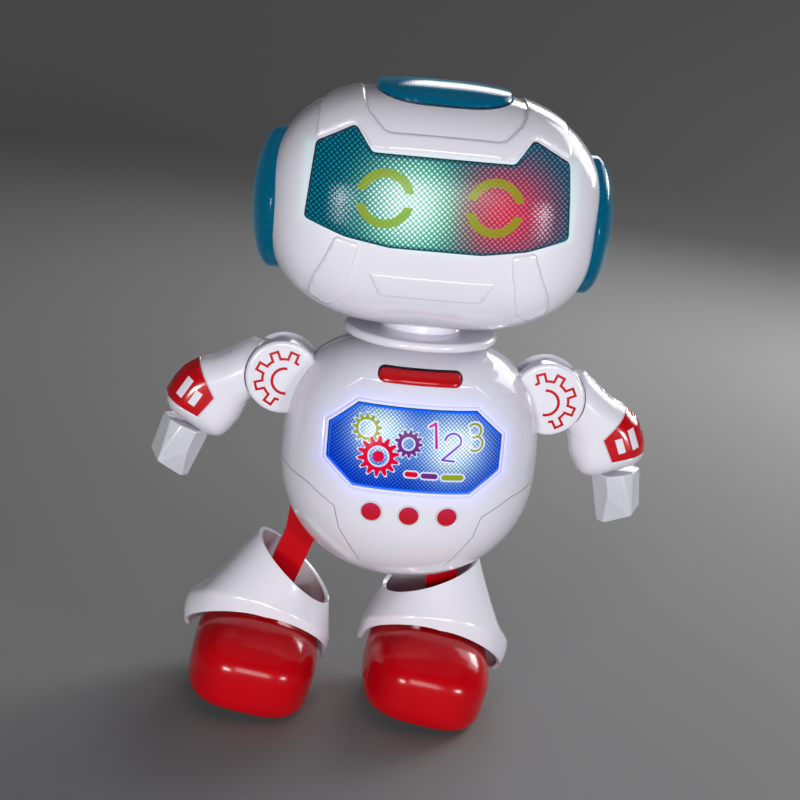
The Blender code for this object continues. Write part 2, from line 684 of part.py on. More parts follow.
def arm(robot, side, word):
    """One arm: front half, rear half with its boss, hand and shoulder pin."""
    shoulder = joint_empty(f"shoulder_{word}", robot, (side * SHOULDER_X, 0, SHOULDER_Z), ARM_LEAN)
    wrist = Vector((side * WRIST.x, ARM_SPLIT, WRIST.y))
    reach = Vector((side * HAND_TIP.x, ARM_SPLIT, HAND_TIP.y)) - wrist
    along = reach.normalized()
    bm = bmesh.new()
    add_leaning_rod(bm, wrist - along * 0.0060, along, 0.0100, 0.0043, 0.0043, 12)
    socket = tool(f"wrist_socket_{word}", bm, shoulder)

    bm = bmesh.new()
    add_rod(bm, (0, ARM_FRONT - 0.0020, 0), "Y", BOSS_FRONT - ARM_FRONT + 0.0020, ARM_CLEAR,
            segments=28)
    add_rod(bm, (0, BOSS_BACK, 0), "Y", ARM_BACK - BOSS_BACK + 0.0020, ARM_CLEAR, segments=28)
    discs = tool(f"disc_room_{word}", bm, shoulder)
    bm = bmesh.new()
    add_rod(bm, (0, BOSS_FRONT - 0.0010, 0), "Y", BOSS_BACK - BOSS_FRONT + 0.0020,
            PIN_RADIUS + GAP, segments=12)
    add_slab(bm, [(side * u, z) for u, z in ARM_HOLLOW], ARM_FRONT + WALL, ARM_BACK - WALL)
    hollows = tool(f"arm_hollows_{word}", bm, shoulder)
    boss = arc((0, 0), BOSS_RADIUS, -65, -295, 12)
    halves = (("arm_front", ARM_SPLIT - GAP, ARM_FRONT), ("arm_rear", ARM_SPLIT, ARM_BACK))
    for name, mating, outer in halves:
        bm = moulded_half(list(ARM_OUTLINE) + boss, mating, outer, side)
        half = piece(f"{name}_{word}", mesh_of(name, bm), "white", shoulder)
        for cut in (discs, hollows, socket):
            boolean(half, "DIFFERENCE", cut)

    bm = bmesh.new()
    add_leaning_rod(bm, wrist + along * 0.0022, along, reach.length - 0.0022, 0.0082, 0.0074, 6)
    hand = piece(f"hand_{word}", mesh_of("hand", bm), "clear", shoulder)
    bm = bmesh.new()
    add_leaning_rod(bm, wrist - along * 0.0050, along, 0.0090, 0.0040, 0.0040, 12)
    boolean(hand, "UNION", tool(f"wrist_stub_{word}", bm, shoulder))

    bm = bmesh.new()
    add_rod(bm, (side * SHOULDER_X, -0.0060, SHOULDER_Z), "Y", 0.0180, PIN_RADIUS, segments=16)
    piece(f"shoulder_pin_{word}", mesh_of("shoulder_pin", bm), "steel", robot)


# ---------------------------------------------------------------- legs
def leg(robot, side, word):
    """One leg on its hip pin: a flat strut with the foot fixed to its lower end."""
    hip = joint_empty(f"hip_{word}", robot, (side * HIP_X, 0, HIP_Z), LEG_LEAN)
    lower = (side * FOOT_PIN_OUT, FOOT_PIN_RISE - SOLE_DROP)
    knee = side * KNEE[0]
    edge = arc((0, 0), 0.0050, 0, 180, 8) + [(knee - STRUT_WIDE, KNEE[1])]
    edge += arc(lower, STRUT_WIDE, 180, 360, 8) + [(knee + STRUT_WIDE, KNEE[1])]
    holes = [circle(0, 0, PIN_RADIUS + GAP), circle(*lower, PIN_RADIUS)]
    flat = plate(f"strut_{word}", [edge] + holes, (-STRUT_HALF, STRUT_HALF), "red", hip)
    strut = as_mesh(flat)
    bm = bmesh.new()
    add_rod(bm, (0, TIE_SLAB[0] - 0.0004, -TIE_ARM), "Y", 0.0044, PIN_RADIUS, segments=16)
    boolean(strut, "UNION", tool(f"tie_stub_{word}", bm, hip))
    bm = bmesh.new()
    add_rod(bm, (side * HIP_X, -0.0122, HIP_Z), "Y", 0.0176, PIN_RADIUS, segments=16)
    piece(f"hip_pin_{word}", mesh_of("hip_pin", bm), "steel", robot)
    foot(joint_empty(f"foot_{word}", hip, (0, 0, -SOLE_DROP)), side, word)


def as_mesh(flat):
    """Replace a curve object by a welded mesh object, ready for Booleans."""
    name, data, matrix, parent = flat.name, flat.data, flat.matrix_basis.copy(), flat.parent
    bpy.context.view_layer.update()
    seen = flat.evaluated_get(bpy.context.evaluated_depsgraph_get())
    mesh = bpy.data.meshes.new_from_object(seen)
    bm = bmesh.new()
    bm.from_mesh(mesh)
    bmesh.ops.remove_doubles(bm, verts=bm.verts, dist=0.00001)
    bmesh.ops.transform(bm, matrix=matrix, verts=bm.verts)
    bm.to_mesh(mesh)
    bm.free()
    bpy.data.objects.remove(flat, do_unlink=True)
    bpy.data.curves.remove(data)
    made = bpy.data.objects.new(name, mesh)
    made.parent = parent
    PARTS.objects.link(made)
    return made


def shoe(base, side, word):
    """Rounded shoe shell, open underneath, with the strut's opening on top."""
    bm = egg(SHOE_CENTRE, SHOE_HALF, SHOE_PLAN, SHOE_TOP, SHOE_FOOT, segments=20, rings=10)
    keep_side(bm, (0, 0, SHOE_RIM), (0, 0, -1))
    shell = piece(f"shoe_{word}", mesh_of("shoe", bm), "red", base)
    thicken(shell, SHOE_WALL)
    bm = bmesh.new()
    ends = sorted((side * 0.0080, -side * 0.0075))
    add_box(bm, (ends[0], -0.0027, 0.0240), (ends[1], 0.0027, 0.0400))
    start = -0.0260 if side > 0 else 0.0150
    add_rod(bm, (start, WHEEL_Y, WHEEL_Z), "X", 0.0110, 0.0016, segments=12)
    boolean(shell, "DIFFERENCE", tool(f"shoe_cuts_{word}", bm, base))


def sole(base, side, word):
    """Sole plate with the clevis for the strut and the two ribs that carry the wheel axle."""
    bm = bmesh.new()
    add_slab(bm, superellipse(SOLE_HALF, 3, 28, (0, SHOE_CENTRE.y)), 0.0, SOLE_THICK, axis="Z")
    made = piece(f"sole_{word}", mesh_of("sole", bm), "black", base)
    bm = bmesh.new()
    middle = side * FOOT_PIN_OUT
    for sense in (-1, 1):
        ear = [(middle - 0.0036, 0.0010), (middle + 0.0036, 0.0010)]
        ear += arc((middle, FOOT_PIN_RISE), 0.0036, 0, 180, 8)
        add_slab(bm, ear, *sorted((sense * 0.0024, sense * 0.0046)))
        rib = sorted((sense * 0.0080, sense * 0.0100))
        add_box(bm, (rib[0], WHEEL_Y - 0.0030, 0.0010),
                (rib[1], WHEEL_Y + 0.0030, WHEEL_Z + 0.0028))
    boolean(made, "UNION", tool(f"sole_brackets_{word}", bm, base))
    bm = bmesh.new()
    add_rod(bm, (middle, -0.0060, FOOT_PIN_RISE), "Y", 0.0120, PIN_RADIUS, segments=12)
    add_rod(bm, (-0.0140, WHEEL_Y, WHEEL_Z), "X", 0.0280, 0.0013, segments=12)
    add_box(bm, (-0.0036, WHEEL_Y - 0.0060, -0.0010), (0.0036, WHEEL_Y + 0.0060, 0.0030))
    boolean(made, "DIFFERENCE", tool(f"sole_cuts_{word}", bm, base))


def boot(base, side, word):
    """Flared boot collar: an arch over the toe below, a slanted open mouth above."""
    levels, turns = 7, 24
    bm = bmesh.new()
    column = [bm.verts.new((0, -1, i / (levels - 1))) for i in range(levels)]
    for low, high in zip(column, column[1:]):
        bm.edges.new((low, high))
    bmesh.ops.spin(bm, geom=bm.verts[:] + bm.edges[:], cent=(0, 0, 0), axis=(0, 0, 1),
                   angle=2 * pi, steps=turns, use_merge=True)
    bmesh.ops.remove_doubles(bm, verts=bm.verts, dist=0.0001)
    for vert in bm.verts:
        vert.co = boot_point(vert.co, side)
    made = piece(f"boot_{word}", mesh_of("boot", bm), "white", base)
    thicken(made, BOOT_WALL)


def boot_point(unit, side):
    """Carry a point of a unit tube onto the boot: x outward, y back, z from edge to mouth."""
    out, back, level = unit.x, unit.y, unit.z
    reach = (abs(out) ** BOOT_POWER + abs(back) ** BOOT_POWER) ** (-1 / BOOT_POWER)
    low = Vector((0.0256 * reach * out, 0.0026 + 0.0196 * reach * back,
                  0.0085 + 0.0025 * abs(out) + 0.0212 * max(0.0, -back) ** 1.1))
    top = Vector((-0.0063 + 0.0155 * out, 0.0040 + 0.0160 * back, 0.0432 + 0.0098 * out))
    point = low.lerp(top, max(0.0, (level - 0.30) / 0.70))
    point.z = low.z + (top.z - low.z) * level
    point.x += 0.0033 * max(0.0, out) ** 6 * max(0.0, 1 - ((point.z - 0.0200) / 0.0100) ** 2)
    return Vector((side * point.x, point.y, point.z))


def wheel(base, word):
    """Idler wheel in the toe on its axle, just clear of the floor when the soles lie flat."""
    profile = [(0.0012, 0.0028), (0.0070, 0.0028), (WHEEL_RADIUS, 0.0020),
               (WHEEL_RADIUS, -0.0020), (0.0070, -0.0028), (0.0012, -0.0028)]
    turned(f"wheel_{word}", profile, "black", base, (0, WHEEL_Y, WHEEL_Z), (0, pi / 2, 0),
           closed=True, steps=20)
    bm = bmesh.new()
    add_rod(bm, (-0.0130, 0, 0), "X", 0.0260, 0.0010, segments=12)
    piece(f"wheel_axle_{word}", mesh_of("wheel_axle", bm), "steel", base,
          (0, WHEEL_Y, WHEEL_Z))


def foot(base, side, word):
    """One foot: sole, shoe, boot, the pin through the strut, wheel and axle."""
    sole(base, side, word)
    shoe(base, side, word)
    boot(base, side, word)
    wheel(base, word)
    bm = bmesh.new()
    add_rod(bm, (side * FOOT_PIN_OUT, -0.0052, FOOT_PIN_RISE), "Y", 0.0104, PIN_RADIUS - GAP,
            segments=12)
    piece(f"foot_pin_{word}", mesh_of("foot_pin", bm), "steel", base)


# ---------------------------------------------------------------- drive
def motor(robot):
    """Flat-sided can motor with a bore for the pinion's shaft."""
    bm = bmesh.new()
    add_rod(bm, (0, MOTOR_SLAB[0], PINION_Z), "Y", MOTOR_SLAB[1] - MOTOR_SLAB[0], MOTOR_RADIUS)
    can = piece("motor", mesh_of("motor", bm), "steel", robot)
    bm = bmesh.new()
    for side in (-1, 1):
        low, high = sorted((PINION_Z + side * MOTOR_FLAT, PINION_Z + side * 0.0120))
        add_box(bm, (-0.0120, -0.0300, low), (0.0120, -0.0100, high))
    add_rod(bm, (0, -0.0170, PINION_Z), "Y", 0.0080, 0.0013, segments=12)
    boolean(can, "DIFFERENCE", tool("motor_cuts", bm, robot))


def gears(robot):
    """Motor pinion on its shaft and the crank gear with its eccentric pin."""
    spin = joint_empty("pinion_axis", robot, (0, 0, PINION_Z))
    outline = gear_outline(PINION_TEETH, pi / 2)
    gear = as_mesh(plate("motor_pinion", [outline], GEAR_SLAB, "natural", spin))
    bm = bmesh.new()
    add_rod(bm, (0, -0.0165, 0), "Y", 0.0085, 0.0010, segments=12)
    boolean(gear, "UNION", tool("pinion_shaft", bm, spin))

    spin = joint_empty("crank_axis", robot, (0, 0, CRANK_Z))
    outline = gear_outline(CRANK_TEETH, -pi / 2 + pi / CRANK_TEETH)
    gear = as_mesh(plate("crank_gear", [outline], GEAR_SLAB, "natural", spin))
    bm = bmesh.new()
    add_rod(bm, (0, GEAR_SLAB[1] - 0.0005, CRANK_THROW), "Y", 0.0038, 0.0012, segments=12)
    boolean(gear, "UNION", tool("crank_pin", bm, spin))
    bm = bmesh.new()
    add_rod(bm, (0, GEAR_SLAB[0] - 0.0010, 0), "Y", 0.0032, 0.0013, segments=12)
    boolean(gear, "DIFFERENCE", tool("crank_bore", bm, spin))

    bm = bmesh.new()
    add_rod(bm, (0, -0.0130, CRANK_Z), "Y", 0.0059, 0.0010, segments=12)
    piece("crank_axle", mesh_of("crank_axle", bm), "steel", robot)


def drive_plates(robot):
    """Front and rear plates that hold the hip pins, the crank axle and the motor."""
    hips = [circle(side * HIP_X, HIP_Z, PIN_RADIUS + GAP) for side in (-1, 1)]
    half = [(0.0200, 0.1175), (0.0330, 0.1175), (0.0350, 0.1140), (0.0350, 0.0960),
            (0.0310, 0.0720), (0.0280, 0.0690)]
    bores = [circle(0, CRANK_Z, 0.0013, 12), circle(0, PINION_Z, 0.0050)]
    plate("drive_plate_front", [mirrored(half)] + hips + bores, PLATE_FRONT, "natural", robot)
    half = [(0.0330, 0.1175), (0.0350, 0.1140), (0.0350, 0.1060), (0.0300, 0.0980)]
    plate("drive_plate_rear", [mirrored(half)] + hips, PLATE_REAR, "natural", robot)


def tie_bar(robot):
    """Bar that keeps the legs parallel, with the window that the crank pin turns in."""
    sway = -TIE_ARM * sin(LEG_LEAN)
    pivot = joint_empty("tie_axis", robot, (sway, 0, CRANK_Z))
    ends = 0.0032
    half = [(0.0115, 0.0078), (0.0125, 0.0030), (HIP_X, ends)]
    half += arc((HIP_X, 0), ends, 75, -75, 6)
    half += [(HIP_X, -ends), (0.0125, -0.0030), (0.0115, -0.0078)]
    window = superellipse((CRANK_THROW * 2 + 0.0016, CRANK_THROW + 0.0019), 6, 20)
    holes = [circle(side * HIP_X, 0, PIN_RADIUS + GAP) for side in (-1, 1)]
    plate("tie_bar", [mirrored(half), window] + holes, TIE_SLAB, "natural", pivot)


# ---------------------------------------------------------------- the robot
def build():
    """Model every piece."""
    robot = joint_empty("robot", None, (SHIFT_X, 0, LIFT))
    head = joint_empty("head_axis", robot, (0, 0, 0))
    door_body = joint_empty("battery_door_slide", robot, (0, 0, 0))
    torso_front_shell(robot)
    torso_rear_shell(robot)
    torso_panels(robot, door_body)
    power_switch(robot)
    window_lights(robot)
    battery_box(robot)
    neck(robot, head)
    head_shells(head)
    head_lenses(head)
    head_electronics(head)
    motor(robot)
    gears(robot)
    drive_plates(robot)
    tie_bar(robot)
    for side, word in ((-1, "right"), (1, "left")):
        arm(robot, side, word)
        leg(robot, side, word)


clear_scene()
PARTS = new_collection("toy_robot")
CUTTERS = new_collection("cutters")
build()
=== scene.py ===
from functools import reduce
from math import cos, pi, radians, sin

import bmesh
import bpy
import numpy as np
from bpy.props import FloatProperty, FloatVectorProperty, PointerProperty
from mathutils import Matrix, Vector


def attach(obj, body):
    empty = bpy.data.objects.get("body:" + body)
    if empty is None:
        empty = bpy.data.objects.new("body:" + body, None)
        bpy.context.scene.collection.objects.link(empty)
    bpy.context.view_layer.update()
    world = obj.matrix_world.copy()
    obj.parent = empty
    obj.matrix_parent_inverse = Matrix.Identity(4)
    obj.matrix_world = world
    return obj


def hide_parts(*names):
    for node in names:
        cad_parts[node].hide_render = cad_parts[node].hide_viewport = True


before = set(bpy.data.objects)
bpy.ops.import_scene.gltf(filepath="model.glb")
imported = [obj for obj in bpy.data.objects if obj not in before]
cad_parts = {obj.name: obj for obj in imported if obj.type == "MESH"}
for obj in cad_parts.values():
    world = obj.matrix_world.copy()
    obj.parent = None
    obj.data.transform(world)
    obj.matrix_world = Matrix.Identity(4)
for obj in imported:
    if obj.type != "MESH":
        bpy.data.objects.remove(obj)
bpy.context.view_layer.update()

bl_info = {
    "name": "Toy robot",
    "version": (1, 0, 0),
    "blender": (4, 5, 0),
    "location": "3D View > Sidebar > Toy robot",
    "description": "Builds the visible pieces of a battery-driven toy robot on its CAD frame",
    "category": "Add Mesh",
}

MM = 0.001
LEG_LEAN = radians(10)
ARM_LEAN = radians(4.7)
HIP = Vector((0.0310, 0.0, 0.1120))
SHOULDER = Vector((0.0460, 0.0, 0.1150))
SOLE_DROP = 0.1135
LIFT = SOLE_DROP * cos(LEG_LEAN) + 0.0158 * sin(LEG_LEAN) - HIP.z
HOME = Vector((0.0033, 0.0, LIFT))         # the robot's own origin in the frame
GAP = 0.0003
SHELL_WALL = 0.0020
PANEL_WALL = 0.0012                        # raised brow and straps
LENS_WALL = 0.0015                         # window and visor
LAMP_WALL = 0.0016                         # top lamp and ears
MERGE = 0.00001                            # points closer than this are one
CUT = 0.000001                             # reach of a cutting plane
PLASTIC_IOR = 1.52
HEAD_SINK = -0.0008                        # the head's skin lies this far under its raised panels

# Outlines on the front of the body: outward and up from the robot's own origin.
WINDOW_SIDE = ((0.0195, 0.1148), (0.0287, 0.1068), (0.0287, 0.0950), (0.0195, 0.0873))
VISOR_SIDE = (
    (0.0225, 0.1970), (0.0282, 0.2046), (0.0400, 0.1985), (0.0420, 0.1750),
    (0.0290, 0.1707), (0.0145, 0.1685),
)
ARM_OUTLINE = (
    (0.0123, 0.0100), (0.0166, 0.0070), (0.0209, 0.0037), (0.0250, 0.0014), (0.0280, 0.0005),
    (0.0310, -0.0012), (0.0345, -0.0040), (0.0376, -0.0090), (0.0394, -0.0130),
    (0.0395, -0.0154), (0.0385, -0.0188), (0.0370, -0.0206), (0.0242, -0.0273),
    (0.0202, -0.0280), (0.0171, -0.0267), (0.0131, -0.0206), (0.0105, -0.0125),
)
DOOR_HALF, DOOR_Z = (0.0235, 0.0270), 0.0860
LAMP_HALF, LAMP_PROUD = (0.0225, 0.0250), 0.0012
EAR_RADIUS, EAR_Z, EAR_ROOT, EAR_SHOULDER, EAR_TIP = 0.0235, 0.1755, 0.0458, 0.0530, 0.0605
NECK_Z, COLLAR_RADIUS, POST_RADIUS = 0.1321, 0.0265, 0.0075
DISC_RADIUS, DISC_FRONT, DISC_BACK = 0.0128, -0.0095, -0.0023
BOSS_FRONT, BOSS_BACK, BOSS_RADIUS = -0.0020, 0.0050, 0.0098
REAR_DISC_BACK, REAR_DISC_TIP = 0.0125, 0.0088
ARM_CLEAR = DISC_RADIUS + 0.0004
ARM_FRONT, ARM_SPLIT, ARM_BACK = -0.0080, 0.0027, 0.0105
WRIST = Vector((0.0306, -0.0234))
HAND_TIP = Vector((0.0355, -0.0422))
SHOE_RIM, SHOE_WALL = 0.0010, 0.0018
SWITCH_Z, SCREW_Z = 0.1200, 0.0640
SIDES = ((-1, "right"), (1, "left"))

# Openings and covers of the body, from the robot's own origin.
LEG_SLOT_X, LEG_SLOT_HALF, LEG_SLOT_Z = (0.0090, 0.0460), 0.0026, (0.0380, 0.0790)
NECK_HOLE, NECK_HOLE_Z, NECK_HOLE_TALL = POST_RADIUS + 0.0010, 0.1200, 0.0200
POCKET_RADIUS, POCKET_PAST = ARM_CLEAR + 0.0006, 0.0010
FRONT_CUT, DOOR_CUT = (-0.0450, -0.0150), (0.0120, 0.0450)
BAR_HALF, BAR_GAP, BAR_Z = (0.0139, 0.0021), 0.0003, 0.1241
SWITCH_HALF, SWITCH_DEPTH = (0.0042, 0.0018), (0.0240, 0.0400)
SCREW_RADIUS, SCREW_SEAT_RADIUS, SCREW_SEAT_Y = 0.0013, 0.0031, 0.0304
RIDGE_HALF, RIDGE_TOP, RIDGE_SHORTER, RIDGE_PITCH = (0.0080, 0.0006), 0.1060, 0.0010, 0.0022
DOOR_POWER, LAMP_POWER = 6, 3.5
DISC_RIM = 0.0004                          # small chamfer at the back of each shoulder disc

# Collar under the head: hub, then a round-edged flange.
HUB_RADIUS, HUB_TOP, HUB_FOOT, FLANGE_Z = 0.0138, 0.1408, 0.1355, 0.13365
FLANGE_ROUND, HUB_ROUND = (0.0015, 0.00155), 0.0005

# Openings of the head.
VISOR_ROUND, VISOR_CUT, LAMP_CUT = 0.0012, (-0.0500, -0.0080), (0.2000, 0.2300)
EAR_CUT, EAR_CUT_DEEP = 0.0440, 0.0200
HUB_HOLE, HUB_HOLE_Z, HUB_HOLE_TALL = 0.0141, 0.1300, 0.0180
VENT_HALVES, VENT_HEIGHT, VENT_PITCH = (0.0070, 0.0100, 0.0100, 0.0100, 0.0070), 0.0009, 0.0042
VENT_CUT = (0.0300, 0.0500)

# Shoes, from the middle of the sole: the slot for the strut and the hole for the wheel's axle.
STRUT_SLOT_X, STRUT_SLOT_HALF, STRUT_SLOT_Z = (0.0080, -0.0075), 0.0027, (0.0240, 0.0400)
AXLE_HOLE_Y, AXLE_HOLE_Z, AXLE_HOLE_DEEP, AXLE_HOLE_RADIUS = -0.0200, 0.0084, 0.0110, 0.0016
AXLE_HOLE_X = {"left": -0.0260, "right": 0.0150}

# Boots, from the middle of the sole: x outward, y back.
BOOT_WALL, BOOT_POWER = 0.0015, 2.5
BOOT_HALF, BOOT_BACK = (0.0256, 0.0196), 0.0026          # at the lower edge
BOOT_EDGE, BOOT_EDGE_SIDE, BOOT_ARCH = 0.0085, 0.0025, 0.0212
MOUTH_HALF, MOUTH_MIDDLE, MOUTH_SLANT = (0.0155, 0.0160), (-0.0063, 0.0040, 0.0432), 0.0098
BOOT_STRAIGHT = 0.30                                     # share of the height below the taper
ANKLE_BULGE, ANKLE_Z, ANKLE_REACH = 0.0033, 0.0200, 0.0100

# Prints on the body, in millimetres from the robot's own origin.
DOT_SPOTS, DOT_RADIUS = ((-12.5, 78.6), (0.1, 78.4), (12.9, 78.6)), 3.3
BIB_LINE = ((44.0, 86.5), (35.0, 84.0), (25.0, 78.0), (23.0, 70.0), (15.0, 57.0))
RING_SPOTS, RING_RADIUS, RING_HALF, RING_GAP = ((-17.3, 183.6), (17.3, 183.6)), 7.85, 1.4, 2.1
# The armband and its two openings, in millimetres from the shoulder pin.
BAND_EDGES = ((40.2, -13.9), (26.9, -19.0), (22.2, -11.5), (30.4, 1.0))
BAND_HOLES, BAND_HOLE_TURN = (((32.6, -9.6), (3.7, 1.2)), ((28.4, -12.6), (2.7, 1.3))), 117.0
BLACK = (0.0, 0.0, 0.0)

# Stage: the camera looks at a point on the body, and the lights at the middle of the robot.
CAMERA_TURN, CAMERA_RISE, CAMERA_ROLL = radians(-2.787), radians(15.5), radians(5.5)
CAMERA_AIM, CAMERA_AWAY = Vector((-0.0014, 0.0, 0.11062)), 0.5261
CAMERA_LENS, CAMERA_WIDTH, CAMERA_CLIP = 67.5, 36.0, (0.01, 20.0)
FLOOR_FLAT, FLOOR_BEND, FLOOR_TALL = 1.7, 0.9, 3.0
FOCUS, PURE, COOL = (0.0, 0.0, 0.12), (1.0, 1.0, 1.0), (0.97, 0.97, 1.0)
LIGHTS = (                                 # name, place, aim, size, watts, colour
    ("key", (-0.42, -0.90, 0.13), FOCUS, (0.20, 0.14), 4.0, PURE),
    ("fill", (0.60, -0.80, 0.13), FOCUS, (0.16, 0.12), 3.3, COOL),
    ("front", (0.05, -1.20, 0.28), FOCUS, (0.50, 0.30), 4.6, PURE),
    ("rear", (0.30, 0.95, 0.60), FOCUS, (0.60, 0.30), 3.0, PURE),
    ("room", (1.6, 1.3, 1.3), FOCUS, (1.2, 1.2), 16.0, PURE),
    ("wash", (0.60, 0.55, 0.35), (0.16, 0.42, 0.0), (0.30, 0.20), 2.4, PURE),
)
SURROUND, SURROUND_STRENGTH = (0.70, 0.70, 0.73, 1.0), 0.28


# ---------------------------------------------------------------- settings
def tint(name, description, default):
    """A colour that a user may change."""
    return FloatVectorProperty(name=name, description=description, subtype="COLOR", default=default,
                               min=0.0, max=1.0)


class ToyRobotColours(bpy.types.PropertyGroup):
    """Colours of the robot's plastics, lights and prints."""

    shell: tint("Shell", "Glossy white plastic of the shells", (0.74, 0.725, 0.80))
    red: tint("Red", "Gloss red plastic and red prints", (0.50, 0.001, 0.006))
    lens: tint("Lens", "Tint of the visor, the ears and the top lamp", (0.0, 0.13, 0.24))
    window: tint("Window", "Tips of the chest window's prisms", (0.002, 0.10, 1.0))
    green_light: tint("Green light", "Glow on the right side of the visor", (0.10, 0.95, 0.55))
    red_light: tint("Red light", "Glow on the left side of the visor", (0.90, 0.02, 0.09))
    olive: tint("Olive print", "Rings printed on the visor", (0.23, 0.20, 0.012))
    purple: tint("Purple print", "Purple gear and bar in the window", (0.13, 0.02, 0.17))
    floor: tint("Floor", "Plain floor under the robot", (0.21, 0.21, 0.213))


class ToyRobotSizes(bpy.types.PropertyGroup):
    """Sizes of the details that are added to the CAD shapes."""

    rise: FloatProperty(
        name="Panel rise", description="How far the raised panels stand above the skin",
        unit="LENGTH", default=0.0008, min=0.0, max=0.0010)
    edge: FloatProperty(
        name="Panel edge", description="Width of the rounding round a raised panel",
        unit="LENGTH", default=0.0009, min=0.0002, max=0.0030)
    pitch: FloatProperty(
        name="Mesh pitch", description="Spacing of the mesh lines on panels",
        unit="LENGTH", default=0.0016, min=0.0006, max=0.0050)
    prism: FloatProperty(
        name="Prism pitch", description="Spacing of the prisms moulded in the lenses, in millimetres",
        default=1.75, min=0.5, max=4.0)
    outline: FloatProperty(
        name="Print outline", description="Width of the white line round window prints, in millimetres",
        default=0.55, min=0.1, max=1.5)


class ToyRobotSettings(bpy.types.PropertyGroup):
    """Everything that a user may change before building the robot."""

    colours: PointerProperty(
        type=ToyRobotColours, name="Colours", description="Plastic, light and print colours")
    sizes: PointerProperty(type=ToyRobotSizes, name="Sizes", description="Detail sizes")


# ---------------------------------------------------------------- places
def home():
    """From the robot's own frame to the shared one."""
    return Matrix.Translation(HOME)


def arm_place(side):
    """From an arm's frame, with its origin on the shoulder pin."""
    return home() @ Matrix.Translation((side * SHOULDER.x, 0, SHOULDER.z)) @ Matrix.Rotation(ARM_LEAN, 4, "Y")


def foot_place(side):
    """From a foot's frame, with its origin under the sole."""
    hip = home() @ Matrix.Translation((side * HIP.x, 0, HIP.z)) @ Matrix.Rotation(LEG_LEAN, 4, "Y")
    return hip @ Matrix.Translation((0, 0, -SOLE_DROP))


# ---------------------------------------------------------------- skins
class Skin:
    """A rounded outer form: level sections of one power, upright ones of two."""

    def __init__(self, centre, half, plan, up, down, drop=None):
        self.centre, self.half = np.array(centre), half
        self.plan, self.up, self.down = plan, up, down
        self.drop = half[2] if drop is None else drop

    def level(self, points, swell):
        """Below 1 inside the form and above 1 outside it."""
        away = points - self.centre
        upper = away[:, 2] >= 0
        away = np.abs(away)
        side = np.where(upper, self.up, self.down)
        tall = np.where(upper, self.half[2], self.drop) + swell
        across = (away[:, 0] / (self.half[0] + swell)) ** self.plan
        across = across + (away[:, 1] / (self.half[1] + swell)) ** self.plan
        return across ** (side / self.plan) + (away[:, 2] / tall) ** side

    def reach(self, starts, ways, swell):
        """Where lines from inside the form meet its surface."""
        low, high = np.zeros(len(starts)), np.full(len(starts), 0.09)
        for _ in range(36):
            middle = (low + high) / 2
            inside = self.level(starts + ways * middle[:, None], swell) < 1
            low, high = np.where(inside, middle, low), np.where(inside, high, middle)
        return starts + ways * low[:, None]

    def outward(self, points, swell):
        """Unit normals at points of the surface."""
        step = 0.00001
        slope = np.stack([self.level(points + axis * step, swell) - self.level(points - axis * step, swell)
                          for axis in np.eye(3)], axis=1)
        return slope / np.linalg.norm(slope, axis=1)[:, None]

    def solid(self, swell=0.0, segments=160, rings=96):
        """The whole closed surface."""
        bm = bmesh.new()
        bmesh.ops.create_uvsphere(bm, u_segments=segments, v_segments=rings, radius=1.0)
        ways = np.array([vert.co.normalized() for vert in bm.verts])
        starts = np.tile(self.centre, (len(ways), 1))
        for vert, spot in zip(bm.verts, self.reach(starts, ways, swell)):
            vert.co = spot
        return bm

    def chart(self, kind, flat):
        """Starts and ways of the lines that carry a flat outline onto the form."""
        u, v = flat[:, 0], flat[:, 1]
        zero, one = np.zeros(len(u)), np.ones(len(u))
        if kind == "front":
            return np.stack([u, zero, v], axis=1), np.stack([zero, -one, zero], axis=1)
        if kind == "back":
            return np.stack([u, zero, v], axis=1), np.stack([zero, one, zero], axis=1)
        if kind == "top":
            return np.stack([u, v, zero + self.centre[2]], axis=1), np.stack([zero, zero, one], axis=1)
        turn = v / self.half[1]
        return (np.stack([u, zero, zero + self.centre[2]], axis=1),
                np.stack([zero, -np.cos(turn), np.sin(turn)], axis=1))


TORSO = Skin((0, 0, 0.0880), (0.0449, 0.0370, 0.0436), 2.2, 3.0, 2.1, 0.0426)
HEAD = Skin((0, 0, 0.1770), (0.0560, 0.0410, 0.0407), 3.3, 2.65, 2.65)
SHOE = Skin((0, -0.0090, 0.0136), (0.0223, 0.0285, 0.0155), 3.0, 2.2, 5.0)


def over(x, degrees):
    """A point of the head's chart that runs over it from the front: x, and turn above level."""
    return (x, radians(degrees) * HEAD.half[1])


# ---------------------------------------------------------------- outlines
def mirrored(side):
    """A closed outline from its right side, top point first."""
    return [*side, *[(-x, z) for x, z in reversed(side)]]


def rounded(outline, radius, steps=4):
    """The outline with its corners rounded."""
    made = []
    for i, corner in enumerate(outline):
        corner = Vector(corner)
        before, after = Vector(outline[i - 1]), Vector(outline[(i + 1) % len(outline)])
        size = min(radius, (before - corner).length * 0.45, (after - corner).length * 0.45)
        start = corner + (before - corner).normalized() * size
        end = corner + (after - corner).normalized() * size
        for k in range(steps + 1):
            t = k / steps
            made.append(tuple(start * (1 - t) ** 2 + corner * 2 * t * (1 - t) + end * t ** 2))
    return made


def superellipse(half, power, steps, middle=(0.0, 0.0)):
    """A rounded-square outline."""
    made = []
    for i in range(steps):
        c, s = cos(2 * pi * i / steps), sin(2 * pi * i / steps)
        far = (abs(c) ** power + abs(s) ** power) ** (-1 / power)
        made.append((middle[0] + half[0] * far * c, middle[1] + half[1] * far * s))
    return made


def capsule(half_length, half_height, z, steps=10):
    """A level bar outline with round ends."""
    made = []
    for sense in (1, -1):
        for i in range(steps + 1):
            turn = radians(-90 + 180 * i / steps)
            made.append((sense * (half_length - half_height + half_height * cos(turn)),
                         z + sense * half_height * sin(turn)))
    return made


